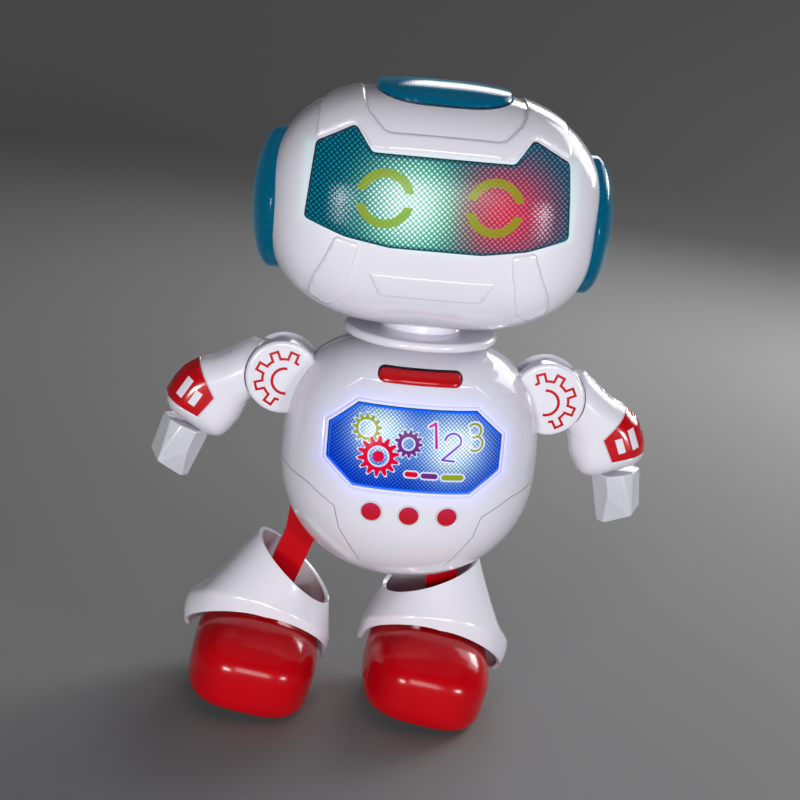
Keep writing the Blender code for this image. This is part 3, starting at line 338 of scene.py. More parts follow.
def border_distance(points, outline):
    """How far each flat point is from the outline."""
    best = np.full(len(points), 1.0)
    corners = np.array(outline)
    for a, b in zip(corners, np.roll(corners, -1, axis=0)):
        along = b - a
        t = np.clip(((points - a) @ along) / (along @ along), 0, 1)
        best = np.minimum(best, np.linalg.norm(points - a - t[:, None] * along, axis=1))
    return best


# ---------------------------------------------------------------- meshes
def flat_grid(outline, insets, pitch):
    """A flat face on an outline, inset along its border and sliced into cells."""
    bm = bmesh.new()
    face = bm.faces.new([bm.verts.new((u, 0, v)) for u, v in outline])
    for step in insets:
        bmesh.ops.inset_region(bm, faces=[face], thickness=step, use_even_offset=True, use_boundary=True)
    low = [min(point[i] for point in outline) for i in (0, 1)]
    high = [max(point[i] for point in outline) for i in (0, 1)]
    for i, normal in ((0, (1, 0, 0)), (1, (0, 0, 1))):
        count = int((high[i] - low[i]) / pitch)
        for k in range(1, count + 1):
            level = low[i] + (high[i] - low[i]) * k / (count + 1)
            bmesh.ops.bisect_plane(bm, geom=bm.verts[:] + bm.edges[:] + bm.faces[:], dist=CUT,
                                   plane_co=Vector(normal) * level, plane_no=normal)
    bmesh.ops.remove_doubles(bm, verts=bm.verts, dist=MERGE)
    return bm


def patch(skin, kind, outline, rise, edge, pitch, swell=0.0, sunk=0.0005):
    """A panel on a skin: it rises from its border to its full height over the width of its edge."""
    bm = flat_grid(outline, (edge * 0.3, edge * 0.7), pitch)
    flat = np.array([(vert.co.x, vert.co.z) for vert in bm.verts])
    inward = border_distance(flat, outline)
    share = np.clip(inward / edge, 0, 1)
    height = -sunk + (rise + sunk) * np.sqrt(1 - (1 - share) ** 2)
    starts, ways = skin.chart(kind, flat)
    spots = skin.reach(starts, ways, swell)
    normals = skin.outward(spots, swell)
    layer = bm.verts.layers.float.new("edge_distance")
    for vert, spot, normal, lift, far in zip(bm.verts, spots, normals, height, inward):
        vert.co = Vector(spot) + Vector(normal) * lift
        vert[layer] = far / MM
    face_outward(bm, Vector(skin.centre))
    return bm


def face_outward(bm, centre):
    """Make an open surface's faces look away from a centre."""
    bmesh.ops.recalc_face_normals(bm, faces=bm.faces)
    total = sum((face.calc_center_median() - centre).dot(face.normal) * face.calc_area() for face in bm.faces)
    if total < 0:
        bmesh.ops.reverse_faces(bm, faces=bm.faces)


def keep_side(bm, point, normal):
    """Cut a mesh by a plane and keep the side that the normal points away from."""
    bmesh.ops.bisect_plane(bm, geom=bm.verts[:] + bm.edges[:] + bm.faces[:], dist=CUT,
                           plane_co=point, plane_no=normal, clear_outer=True)
    return bm


def add_rod(bm, start, axis, length, radius, tip_radius=None, segments=48):
    """A round bar along an axis from a point."""
    turns = {"X": Matrix.Rotation(pi / 2, 4, "Y"), "Y": Matrix.Rotation(-pi / 2, 4, "X"), "Z": Matrix()}
    way = turns[axis].to_3x3() @ Vector((0, 0, 1))
    bmesh.ops.create_cone(bm, cap_ends=True, segments=segments, radius1=radius,
                          radius2=radius if tip_radius is None else tip_radius, depth=length,
                          matrix=Matrix.Translation(Vector(start) + way * length / 2) @ turns[axis])
    return bm


def add_box(bm, low, high):
    """A box between two corners."""
    low, high = Vector(low), Vector(high)
    size = Matrix.Diagonal((*(high - low), 1))
    bmesh.ops.create_cube(bm, size=1.0, matrix=Matrix.Translation((low + high) / 2) @ size)
    return bm


def add_slab(bm, outline, low, high, axis="Y"):
    """An outline given a thickness along Y or Z."""
    if axis == "Y":
        corners = [bm.verts.new((u, low, v)) for u, v in outline]
        way = (0, high - low, 0)
    else:
        corners = [bm.verts.new((u, v, low)) for u, v in outline]
        way = (0, 0, high - low)
    face = bm.faces.new(corners)
    pulled = bmesh.ops.extrude_face_region(bm, geom=[face])["geom"]
    moved = [item for item in pulled if isinstance(item, bmesh.types.BMVert)]
    bmesh.ops.translate(bm, verts=moved, vec=way)
    bmesh.ops.recalc_face_normals(bm, faces=bm.faces)
    return bm


def grown(outline, amount):
    """An outline pushed outwards by a gap."""
    area = sum(a[0] * b[1] - b[0] * a[1] for a, b in zip(outline, [*outline[1:], outline[0]]))
    made = []
    for i, corner in enumerate(outline):
        corner, before = Vector(corner), Vector(outline[i - 1])
        after = Vector(outline[(i + 1) % len(outline)])
        first, second = (corner - before).normalized(), (after - corner).normalized()
        turn = 1 if area > 0 else -1
        normal = Vector((first.y + second.y, -first.x - second.x)) * turn
        normal.normalize()
        reach = amount / max(0.3, normal.dot(Vector((first.y, -first.x)) * turn))
        made.append(tuple(corner + normal * reach))
    return made


def spun(profile, axis, steps=96):
    """A turned piece from (radius, height) points; the axis is +X, -X, +Y, -Y or +Z."""
    bm = bmesh.new()
    verts = [bm.verts.new((radius, 0, height)) for radius, height in profile]
    for a, b in zip(verts, verts[1:]):
        bm.edges.new((a, b))
    bmesh.ops.spin(bm, geom=bm.verts[:] + bm.edges[:], cent=(0, 0, 0), axis=(0, 0, 1), angle=2 * pi,
                   steps=steps, use_merge=True)
    bmesh.ops.remove_doubles(bm, verts=bm.verts, dist=MERGE)
    turns = {"+X": (pi / 2, "Y"), "-X": (-pi / 2, "Y"), "+Y": (-pi / 2, "X"), "-Y": (pi / 2, "X"),
             "+Z": (0, "X")}
    bmesh.ops.transform(bm, matrix=Matrix.Rotation(turns[axis][0], 4, turns[axis][1]), verts=bm.verts)
    bmesh.ops.recalc_face_normals(bm, faces=bm.faces)
    return bm


def arc_profile(middle, radii, first, last, steps):
    """(radius, height) points of an elliptical arc between two turns in degrees."""
    return [(max(0.0, middle[0] + radii[0] * cos(t)), middle[1] + radii[1] * sin(t))
            for t in (radians(first + (last - first) * i / steps) for i in range(steps + 1))]


def node_copy(name):
    """A merged copy of a CAD node's mesh."""
    bm = bmesh.new()
    bm.from_mesh(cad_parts[name].data)
    bmesh.ops.remove_doubles(bm, verts=bm.verts, dist=0.000002)
    bmesh.ops.dissolve_limit(bm, angle_limit=radians(1), verts=bm.verts, edges=bm.edges)
    bmesh.ops.recalc_face_normals(bm, faces=bm.faces)
    return bm


# ---------------------------------------------------------------- pieces
def new_piece(name, bm, place=None):
    """A named object at the origin with its place in its mesh."""
    if place is not None:
        bmesh.ops.transform(bm, matrix=place, verts=bm.verts)
    mesh = bpy.data.meshes.new(name)
    bm.to_mesh(mesh)
    bm.free()
    made = bpy.data.objects.new(name, mesh)
    bpy.context.scene.collection.objects.link(made)
    return made


def settle(made):
    """Make the result of a piece's modifiers its own mesh."""
    bpy.context.view_layer.update()
    seen = made.evaluated_get(bpy.context.evaluated_depsgraph_get())
    mesh = bpy.data.meshes.new_from_object(seen)
    old = made.data
    made.modifiers.clear()
    made.data = mesh
    bpy.data.meshes.remove(old)


def give_wall(made, wall, settled=True):
    """Thicken an open surface inwards."""
    wide = made.modifiers.new("wall", "SOLIDIFY")
    wide.thickness, wide.offset, wide.use_even_offset = wall, -1.0, True
    wide.thickness_clamp = 0.0
    if settled:
        settle(made)


def carve(made, *cutters, place=None):
    """Cut shapes out of a piece."""
    for bm in cutters:
        tool = new_piece("cutter", bm, place)
        cut = made.modifiers.new("cut", "BOOLEAN")
        cut.operation, cut.solver, cut.object = "DIFFERENCE", "EXACT", tool
        settle(made)
        spare = tool.data
        bpy.data.objects.remove(tool, do_unlink=True)
        bpy.data.meshes.remove(spare)


def soften(made, width, segments=2, angle=35):
    """Round the sharp edges of a piece."""
    bevel = made.modifiers.new("edges", "BEVEL")
    bevel.width, bevel.segments, bevel.limit_method = width, segments, "ANGLE"
    bevel.angle_limit, bevel.use_clamp_overlap = radians(angle), True


def place_piece(made, paint, body, slot, *nodes, sharp=40):
    """Finish a piece: smooth faces, its material, its body and the nodes it stands for; its slot is not used.
    """
    made.data.shade_smooth()
    made.data.set_sharp_from_angle(angle=radians(sharp))
    made.data.materials.clear()
    made.data.materials.append(paint)
    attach(made, body)
    if nodes:
        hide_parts(*nodes)


def panel_piece(name, skin, kind, outline, form, wall, finish, *nodes, swell=0.0, sharp=40):
    """A finished panel on a skin. Its form is rise, edge width, mesh pitch and sunk depth of its border."""
    rise, edge, pitch, sunk = form
    paint, body, slot = finish
    made = new_piece(name, patch(skin, kind, outline, rise, edge, pitch, swell, sunk), home())
    give_wall(made, wall)
    place_piece(made, paint, body, slot, *nodes, sharp=sharp)


# ---------------------------------------------------------------- materials
class Amount:
    """A value that varies over a surface. Python's operators on it add Math nodes."""

    def __init__(self, paint, socket):
        self.paint, self.socket = paint, socket

    def maths(self, operation, *others, first=None):
        """This value through a Math node; first goes before it."""
        values = (self, *others) if first is None else (first, self)
        return self.paint.node("ShaderNodeMath", {"operation": operation}, dict(enumerate(values)))

    def __add__(self, other):
        return self.maths("ADD", other)

    def __radd__(self, other):
        return self.maths("ADD", first=other)

    def __sub__(self, other):
        return self.maths("SUBTRACT", other)

    def __rsub__(self, other):
        return self.maths("SUBTRACT", first=other)

    def __mul__(self, other):
        return self.maths("MULTIPLY", other)

    def __rmul__(self, other):
        return self.maths("MULTIPLY", first=other)

    def __truediv__(self, other):
        return self.maths("DIVIDE", other)

    def __neg__(self):
        return self.maths("MULTIPLY", -1.0)

    def __abs__(self):
        return self.maths("ABSOLUTE")

    def least(self, other):
        """The smaller of two values: two shapes joined."""
        return self.maths("MINIMUM", other)

    def most(self, other):
        """The larger of two values: what two shapes share."""
        return self.maths("MAXIMUM", other)

    def inside(self, soft=0.07):
        """1 where this distance is below 0, fading over a soft edge."""
        return (0.5 - self / soft).held()

    def held(self):
        """The value held between 0 and 1."""
        return self.paint.node("ShaderNodeClamp", {}, {"Value": self})


class Paint:
    """A material with one Principled surface."""

    def __init__(self, name):
        self.material = bpy.data.materials.new(name)
        self.material.use_nodes = True
        self.tree = self.material.node_tree
        self.tree.nodes.clear()
        self.surface = self.tree.nodes.new("ShaderNodeBsdfPrincipled")
        end = self.tree.nodes.new("ShaderNodeOutputMaterial")
        self.tree.links.new(self.surface.outputs[0], end.inputs["Surface"])

    def feed(self, socket, value):
        """Link a varying value to a socket, or set a constant on it."""
        if isinstance(value, Amount):
            self.tree.links.new(value.socket, socket)
        elif socket.type == "RGBA":
            socket.default_value = (*tuple(value)[:3], 1.0)
        else:
            socket.default_value = value

    def node(self, kind, settings, inputs, output=0):
        """One node: its settings first, then its sockets."""
        made = self.tree.nodes.new(kind)
        for key, value in settings.items():
            setattr(made, key, value)
        for key, value in inputs.items():
            self.feed(made.inputs[key], value)
        return Amount(self, made.outputs[output])

    def set(self, values):
        """Values and links of the surface's own sockets."""
        for key, value in values.items():
            self.feed(self.surface.inputs[key], value)
        return self.material

    def spot(self):
        """Object coordinates, in metres."""
        return self.node("ShaderNodeTexCoord", {}, {}, "Object")

    def place(self, origin=HOME, lean=0.0):
        """x, y and z in millimetres from an origin, in a frame that leans about Y."""
        moved = self.node("ShaderNodeMapping", {"vector_type": "TEXTURE"},
                          {"Vector": self.spot(), "Location": tuple(origin), "Rotation": (0.0, lean, 0.0),
                           "Scale": (MM, MM, MM)})
        split = self.node("ShaderNodeSeparateXYZ", {}, {"Vector": moved}).socket.node
        return [Amount(self, split.outputs[i]) for i in range(3)]

    def mix(self, mask, base, top):
        """One colour over another by a mask."""
        return self.node("ShaderNodeMix", {"data_type": "RGBA"}, {0: mask, 6: base, 7: top}, 2)

    def noise(self, scale, detail=2.0):
        """Cloudy noise between 0 and 1."""
        return self.node("ShaderNodeTexNoise", {}, {"Vector": self.spot(), "Scale": scale, "Detail": detail})

    def bump(self, height, strength=1.0):
        """A normal from a height in millimetres."""
        return self.node("ShaderNodeBump", {}, {"Strength": strength, "Distance": MM, "Height": height})

    def mark(self, name):
        """A named value stored on the mesh."""
        return self.node("ShaderNodeAttribute", {"attribute_name": name}, {}, "Fac")


def far(u, v):
    """Distance from the origin of two coordinates."""
    return (u * u + v * v).maths("SQRT")


def turned(x, z, middle, degrees):
    """Coordinates about a middle, turned so that the first runs along a direction."""
    u, v = x - middle[0], z - middle[1]
    c, s = cos(radians(degrees)), sin(radians(degrees))
    if degrees == 0:
        return u, v
    return u * c + v * s, v * c - u * s


def joined(shapes):
    """Distance to the nearest of several shapes."""
    return reduce(Amount.least, shapes)


def dot(x, z, middle, radius):
    """Distance to a round dot."""
    return far(x - middle[0], z - middle[1]) - radius


def bar(x, z, middle, half_length, radius, degrees=0.0):
    """Distance to a bar with round ends."""
    u, v = turned(x, z, middle, degrees)
    return far((abs(u) - half_length).most(0.0), v) - radius


def stroke(x, z, start, end, radius):
    """Distance to a stroke between two points."""
    along = Vector(end) - Vector(start)
    middle = (Vector(start) + Vector(end)) / 2
    return bar(x, z, middle, along.length / 2, radius, np.degrees(np.arctan2(along.y, along.x)))


def block(x, z, middle, half, degrees=0.0):
    """Distance to a rectangle."""
    u, v = turned(x, z, middle, degrees)
    return (abs(u) - half[0]).most(abs(v) - half[1])


def bow(x, z, middle, radius, half_width, cut, offset):
    """Distance to a round stroke, kept on the side of a line that faces the cut's direction."""
    u, _ = turned(x, z, middle, cut)
    return (abs(far(x - middle[0], z - middle[1]) - radius) - half_width).most(offset - u)


def cog(x, z, middle, root, tip, teeth, first):
    """Distance to a printed gear with pointed teeth."""
    u, v = x - middle[0], z - middle[1]
    turn = v.maths("ARCTAN2", u)
    wave = ((turn - radians(first)) * teeth).maths("COSINE")
    return far(u, v) - ((root + tip) / 2 + (wave * 1.3).least(1.0).most(-1.0) * ((tip - root) / 2))


def printed_gear(x, z, middle, root, tip, teeth, first, hole):
    """Distance to a printed gear with a round hole."""
    return cog(x, z, middle, root, tip, teeth, first).most(-dot(x, z, middle, hole))


def square_cog(x, z, middle, root, tip, half_tooth, step, first):
    """Distance to a gear outline with square teeth, a step in degrees apart."""
    u, v = x - middle[0], z - middle[1]
    turn = v.maths("ARCTAN2", u) - radians(first)
    fold = turn.paint.node("ShaderNodeMath", {"operation": "WRAP"},
                           {0: turn, 1: radians(step / 2), 2: radians(-step / 2)})
    away = far(u, v)
    along, aside = away * fold.maths("COSINE"), away * fold.maths("SINE")
    tooth = (along - tip).most(abs(aside) - half_tooth)
    return (away - root).least(tooth)


def prisms(x, z, pitch):
    """A lattice of small pyramids: 1 on their tips, 0 between them."""
    u, v = (x + z) * (pi / pitch), (x - z) * (pi / pitch)
    return (u.maths("COSINE") * v.maths("COSINE")).maths("ABSOLUTE")


def bell(x, z, middle, reach):
    """A soft round glow: 1 in its middle."""
    u, v = (x - middle[0]) / reach, (z - middle[1]) / reach
    return (-(u * u + v * v)).maths("EXPONENT")


def gloss(paint, low, high, scale=900.0):
    """Roughness with the faint unevenness of moulded plastic."""
    return low + paint.noise(scale, 3.0) * (high - low)


def window_distance(x, z):
    """Distance to the window's outline."""
    side = abs(x)
    top = (side + (z - 114.8) * 1.15 - 19.5) * 0.656
    low = (side - (z - 87.3) * 1.195 - 19.5) * 0.642
    return (side - 28.7).most(z - 114.8).most(87.3 - z).most(top).most(low)


def white_plastic(name, colours, prints=None):
    """Glossy white moulded plastic; prints may add red marks, grooves and light from the lenses."""
    paint = Paint(name)
    tone = colours.shell
    shade = tuple(c * 0.965 for c in tone)
    colour = paint.mix(paint.noise(60.0, 3.0), tone, shade)
    rough = gloss(paint, 0.13, 0.21)
    height = paint.noise(2200.0, 2.0) * 0.004
    light = None
    if prints is not None:
        colour, height, light = prints(paint, colour, height, colours)
    values = {"Base Color": colour, "Roughness": rough, "Normal": paint.bump(height), "IOR": PLASTIC_IOR,
              "Coat Weight": 0.35, "Coat Roughness": 0.05}
    if light is not None:
        values["Emission Color"] = light
        values["Emission Strength"] = 1.0
    return paint.set(values)


def groove(distance, width=0.28, deep=0.35):
    """Height of a groove along a line, in millimetres."""
    return (1 - abs(distance) / width).held() * -deep


def torso_prints_and_painted_glow(paint, colour, height, colours):
    """Red dots, the yoke and bib lines, and blue light round the window."""
    x, y, z = paint.place()
    dots = joined(dot(x, z, spot, DOT_RADIUS) for spot in DOT_SPOTS)
    colour = paint.mix(dots.inside(), colour, colours.red)
    height = height + groove(dots - 0.35, 0.3, 0.25)
    side = abs(x)
    front = (y * -1.0 - 6.0).held()
    yoke = z - 118.5 - ((24.0 - side) * 0.7).most(0.0).least(3.5)
    height = height + (-yoke).inside(0.5) * 0.45
    bib = joined(stroke(side, z, start, end, 0.0) for start, end in zip(BIB_LINE, BIB_LINE[1:]))
    height = height + groove(bib, 0.35, 0.4) * front
    window = window_distance(x, z)
    height = height + groove(window - 1.5, 0.5, 0.3) * front
    # painted glow: the window's blue light painted on the white shell round it as emission, a little stronger
    # just below the window
    halo = (-(window.most(0.0) / 2.4)).maths("EXPONENT") * front
    lower = (-(z - 84.0).maths("ABSOLUTE") / 9.0).maths("EXPONENT")
    light = paint.mix((halo * 0.75 + halo * lower * 0.1).held(), BLACK, (0.10, 0.16, 0.95))
    return colour, height, light


def head_painted_visor_glow(paint, colour, height, colours):
    """Light that spills from the visor."""
    x, y, z = paint.place()
    front = (y * -1.0 - 4.0).held()
    side = abs(x)
    edge = (side - 43.2).most(z - 198.2).most(168.0 - z).most((side - 14.0) * 0.22 + (168.4 - z))
    # painted glow: the visor's teal light painted on the white shell round it as emission
    halo = (-edge.most(0.0)).maths("EXPONENT") * front
    light = paint.mix((halo * 0.25).held(), BLACK, (0.05, 0.45, 0.38))
    return colour, height, light


def disc_prints(side):
    """Red gear outline and inner bow on a shoulder disc."""

    def prints(paint, colour, height, colours):
        x, _, z = paint.place(HOME + Vector((side * SHOULDER.x, 0, SHOULDER.z)))
        u = x * side
        middle = (-0.5, -0.6)
        gear = abs(square_cog(u, z, middle, 7.3, 9.9, 1.35, 42.0, 25.0)) - 0.45
        toward, _ = turned(u, z, middle, 25.0)
        away = far(u - middle[0], z - middle[1])
        gear = gear.most(away * -0.27 - toward)
        inner = bow(u, z, (-0.9, -1.0), 4.4, 0.5, 0.0, -0.6)
        colour = paint.mix(gear.least(inner).inside(), colour, colours.red)
        return colour, height, None

    return prints


def arm_prints(side):
    """Red armband with two white openings in it."""

    def prints(paint, colour, height, colours):
        origin = HOME + Vector((side * SHOULDER.x, 0, SHOULDER.z))
        x, _, z = paint.place(origin, ARM_LEAN)
        u = x * side
        edges = []
        for start, end in zip(BAND_EDGES, BAND_EDGES[1:]):
            along = (Vector(end) - Vector(start)).normalized()
            edges.append((u - start[0]) * -along.y + (z - start[1]) * along.x)
        band = reduce(Amount.most, edges)
        holes = joined(block(u, z, middle, half, BAND_HOLE_TURN) for middle, half in BAND_HOLES)
        colour = paint.mix(band.most(-holes).inside(), colour, colours.red)
        height = height + groove(band - 0.25, 0.3, 0.25)
        return colour, height, None

    return prints


def red_plastic(name, colours):
    """Gloss red moulded plastic."""
    paint = Paint(name)
    deep = tuple(c * 0.82 for c in colours.red)
    colour = paint.mix(paint.noise(70.0, 3.0), colours.red, deep)
    height = paint.noise(1800.0, 2.0) * 0.005
    return paint.set({"Base Color": colour, "Roughness": gloss(paint, 0.12, 0.24), "IOR": PLASTIC_IOR,
                      "Normal": paint.bump(height), "Specular IOR Level": 0.2, "Coat Weight": 0.1,
                      "Coat Roughness": 0.06})


def lens_surface(paint, colour, base_share, prism_height, strength):
    """Clear tinted plastic that is lit from behind."""
    base = paint.mix(base_share, BLACK, colour)
    return paint.set({"Base Color": base, "Roughness": gloss(paint, 0.07, 0.14, 400.0), "IOR": PLASTIC_IOR,
                      "Specular IOR Level": 0.10, "Normal": paint.bump(prism_height, 0.10),
                      "Emission Color": colour, "Emission Strength": strength})


def visor_lens(colours, sizes):
    """Teal visor: prisms, green and red glow, olive rings."""
    paint = Paint("visor_lens_paint")
    x, _, z = paint.place()
    tips = prisms(x, z, sizes.prism)
    spark = (tips * tips).held()
    inner = 1 - (1 - paint.mark("edge_distance") / 1.3).held()
    dark = tuple(c * 0.22 for c in colours.lens)
    colour = paint.mix(spark, dark, (0.0, 0.21, 0.31))
    green = bell(x, z, (-8.0, 181.5), 19.0)
    colour = paint.mix((green * green * (0.24 + spark * 1.8)).held() * inner, colour, colours.green_light)
    core = bell(x, z, (-9.5, 182.0), 14.5)
    colour = paint.mix((core * core * (0.26 + spark * 2.0)).held() * inner, colour, (0.80, 1.0, 0.93))
    red = bell(x, z, (21.0, 182.0), 13.0)
    colour = paint.mix((red * (0.30 + spark * 1.1)).held() * inner, colour, colours.red_light)
    glint = bell(x, z, (18.5, 181.0), 9.0) * (spark * spark * spark)
    colour = paint.mix(glint.held() * 0.55, colour, (1.0, 0.35, 0.16))
    rings = joined((abs(dot(x, z, middle, RING_RADIUS)) - RING_HALF).most(RING_GAP - abs(z - middle[1]))
                   for middle in RING_SPOTS)
    veil = paint.mix((green * 1.1).held() * 0.65, colours.olive, (0.16, 0.42, 0.03))
    colour = paint.mix(rings.inside(0.12) * 0.93, colour, veil)
    return lens_surface(paint, colour, 0.22, tips * 0.25 * inner, 1.05)


def teal_lens(name, sizes, middle, glow, strength):
    """Teal lens of the lamp and the ears: prisms over a soft light."""
    paint = Paint(name)
    x, y, z = paint.place()
    if glow == "top":
        tips, light = prisms(x, y, sizes.prism), bell(x, y, middle, 16.0)
    else:
        tips, light = prisms(y, z, sizes.prism * 1.25), bell(y, z, middle, 17.0)
    spark = (tips * tips).held()
    colour = paint.mix((light * (0.25 + spark * 0.6)).held(), (0.0, 0.075, 0.15), (0.01, 0.30, 0.40))
    return lens_surface(paint, colour, 0.55, tips * 0.2, strength)


def window_lens(colours, sizes):
    """Blue window with its lights, gears, digits and bars."""
    paint = Paint("window_lens_paint")
    x, _, z = paint.place()
    tips = prisms(x, z, sizes.prism * 0.78)
    spark = (tips * tips).held()
    rim = (1 - paint.mark("edge_distance") / 1.1).held()
    colour = paint.mix(spark, (0.0, 0.003, 0.20), colours.window)
    for middle, reach in (((-11.5, 106.5), 7.5), ((12.3, 103.3), 8.5)):
        wide = bell(x, z, middle, reach * 1.5)
        colour = paint.mix((wide * (0.22 + spark * 0.80)).held(), colour, (0.02, 0.42, 1.0))
        core = bell(x, z, middle, reach)
        colour = paint.mix((core * (0.45 + spark * 1.6)).held(), colour, (0.80, 0.97, 1.0))
    colour = paint.mix((rim * 1.6).held(), colour, (0.0, 0.13, 1.0))
    lime, crimson, hub = (0.24, 0.30, 0.012), (0.60, 0.0, 0.03), (-11.8, 98.4)
    one = joined(stroke(x, z, start, (6.1, 110.9), 0.42) for start in ((4.3, 109.8), (7.0, 103.0)))
    two = joined((bow(x, z, (12.3, 105.2), 2.7, 0.3, 75.0, -0.4),
                  stroke(x, z, (14.8, 104.3), (9.2, 99.0), 0.32),
                  stroke(x, z, (9.2, 99.0), (13.2, 98.6), 0.32)))
    three = joined((bow(x, z, (19.2, 108.9), 2.2, 0.38, 20.0, -1.2),
                    bow(x, z, (19.9, 104.6), 2.4, 0.34, -15.0, -1.0)))
    prints = (                             # shape, ink and whether a white line runs round it
        (printed_gear(x, z, (-16.2, 107.1), 3.6, 4.9, 13, 10.0, 2.9), lime, True),
        (printed_gear(x, z, (-2.3, 103.6), 3.5, 4.7, 13, 0.0, 2.3), colours.purple, True),
        (printed_gear(x, z, hub, 5.0, 6.9, 14, 12.0, 3.6), crimson, True),
        (dot(x, z, hub, 1.9), (0.60, 0.0, 0.05), False),
        (one, (0.46, 0.0, 0.24), True), (two, (0.16, 0.02, 0.52), True), (three, lime, True),
        (bar(x, z, (-0.5, 93.4), 1.3, 0.9), (0.60, 0.0, 0.02), True),
        (bar(x, z, (5.5, 93.2), 1.9, 0.9), colours.purple, True),
        (bar(x, z, (13.3, 93.0), 2.8, 0.95), lime, True),
    )
    for shape, ink, lined in prints:
        if lined:
            colour = paint.mix((shape - sizes.outline).inside(0.15) * 0.85, colour, (0.62, 0.68, 0.88))
        colour = paint.mix(shape.inside(0.1), colour, ink)
    return lens_surface(paint, colour, 0.20, tips * 0.25 * (1 - rim), 1.0)


def frosted_plastic():
    """Milky clear plastic of the hands."""
    paint = Paint("frosted_plastic_paint")
    cloud = paint.noise(110.0, 3.0)
    colour = paint.mix(cloud, (0.62, 0.62, 0.67), (0.52, 0.52, 0.58))
    height = paint.noise(700.0, 3.0) * 0.03
    return paint.set({"Base Color": colour, "Roughness": 0.16 + cloud * 0.16, "IOR": 1.46,
                      "Subsurface Weight": 0.35, "Subsurface Radius": (0.004, 0.004, 0.005),
                      "Subsurface Scale": 0.6, "Normal": paint.bump(height),
                      "Coat Weight": 0.4, "Coat Roughness": 0.08})


def plain_paint(name, tone, rough, metallic=0.0, grain=800.0, spread=0.12, lift=0.01):
    """A simple finish with uneven tone, roughness and surface."""
    paint = Paint(name)
    cloud = paint.noise(grain, 3.0)
    colour = paint.mix(cloud, tone, tuple(c * 0.8 for c in tone))
    return paint.set({"Base Color": colour, "Roughness": rough + cloud * spread, "Metallic": metallic,
                      "Normal": paint.bump(cloud * lift)})


def board_paint():
    """Green circuit board with copper tracks."""
    paint = Paint("circuit_board_paint")
    x, _, z = paint.place()
    rows = (abs((z * 1.6).maths("SINE")) - 0.25).inside(0.1)
    tracks = rows * (abs((x * 0.7).maths("SINE")) - 0.8).inside(0.1)
    colour = paint.mix(tracks, (0.01, 0.13, 0.05), (0.05, 0.28, 0.10))
    return paint.set({"Base Color": colour, "Roughness": gloss(paint, 0.3, 0.45),
                      "Normal": paint.bump(tracks * 0.03)})


def cell_paint():
    """Battery cell: a sleeve with bare metal at both ends."""
    paint = Paint("battery_cell_paint")
    x, _, _ = paint.place()
    sleeve = (abs(x) - 23.0).inside(0.2)
    stripe = (x - 8.0).inside(0.3) * sleeve
    colour = paint.mix(sleeve, (0.55, 0.55, 0.56), (0.10, 0.10, 0.11))
    colour = paint.mix(stripe, colour, (0.02, 0.16, 0.08))
    return paint.set({"Base Color": colour, "Roughness": gloss(paint, 0.25, 0.4), "Metallic": 1 - sleeve,
                      "Normal": paint.bump(paint.noise(500.0) * 0.01)})


# ---------------------------------------------------------------- torso
def build_torso(settings):
    """Front and rear shells of the body with every opening."""
    paint = white_plastic("torso_shell_paint", settings.colours, torso_prints_and_painted_glow)
    for name, sense in (("torso_front", 1), ("torso_rear", -1)):
        bm = keep_side(TORSO.solid(), (0, -sense * GAP, 0), (0, sense, 0))
        shell = new_piece(name, bm)
        give_wall(shell, SHELL_WALL)
        slots, pockets = bmesh.new(), bmesh.new()
        low, high = (DISC_BACK, POCKET_PAST) if sense > 0 else (-POCKET_PAST, BOSS_BACK + GAP)
        for side in (-1, 1):
            ends = sorted(side * x for x in LEG_SLOT_X)
            add_box(slots, (ends[0], -LEG_SLOT_HALF, LEG_SLOT_Z[0]), (ends[1], LEG_SLOT_HALF, LEG_SLOT_Z[1]))
            add_rod(pockets, (side * SHOULDER.x, low, SHOULDER.z), "Y", high - low, POCKET_RADIUS)
        neck = add_rod(bmesh.new(), (0, 0, NECK_HOLE_Z), "Z", NECK_HOLE_TALL, NECK_HOLE)
        cuts = [slots, neck, pockets]
        if sense > 0:
            bar_hole = capsule(BAR_HALF[0] + BAR_GAP, BAR_HALF[1] + BAR_GAP, BAR_Z)
            cuts.append(add_slab(bmesh.new(), grown(mirrored(WINDOW_SIDE), GAP), *FRONT_CUT))
            cuts.append(add_slab(bmesh.new(), bar_hole, *FRONT_CUT))
        else:
            hole = superellipse((DOOR_HALF[0] + GAP, DOOR_HALF[1] + GAP), DOOR_POWER, 64, (0, DOOR_Z))
            cuts.append(add_slab(bmesh.new(), hole, *DOOR_CUT))
            wide, tall = SWITCH_HALF
            cuts.append(add_box(bmesh.new(), (-wide, SWITCH_DEPTH[0], SWITCH_Z - tall),
                                (wide, SWITCH_DEPTH[1], SWITCH_Z + tall)))
        carve(shell, *cuts)
        shell.data.transform(home())
        node = "torso_front_shell" if sense > 0 else "torso_rear_shell"
        place_piece(shell, paint, "torso", "white_shell", node)


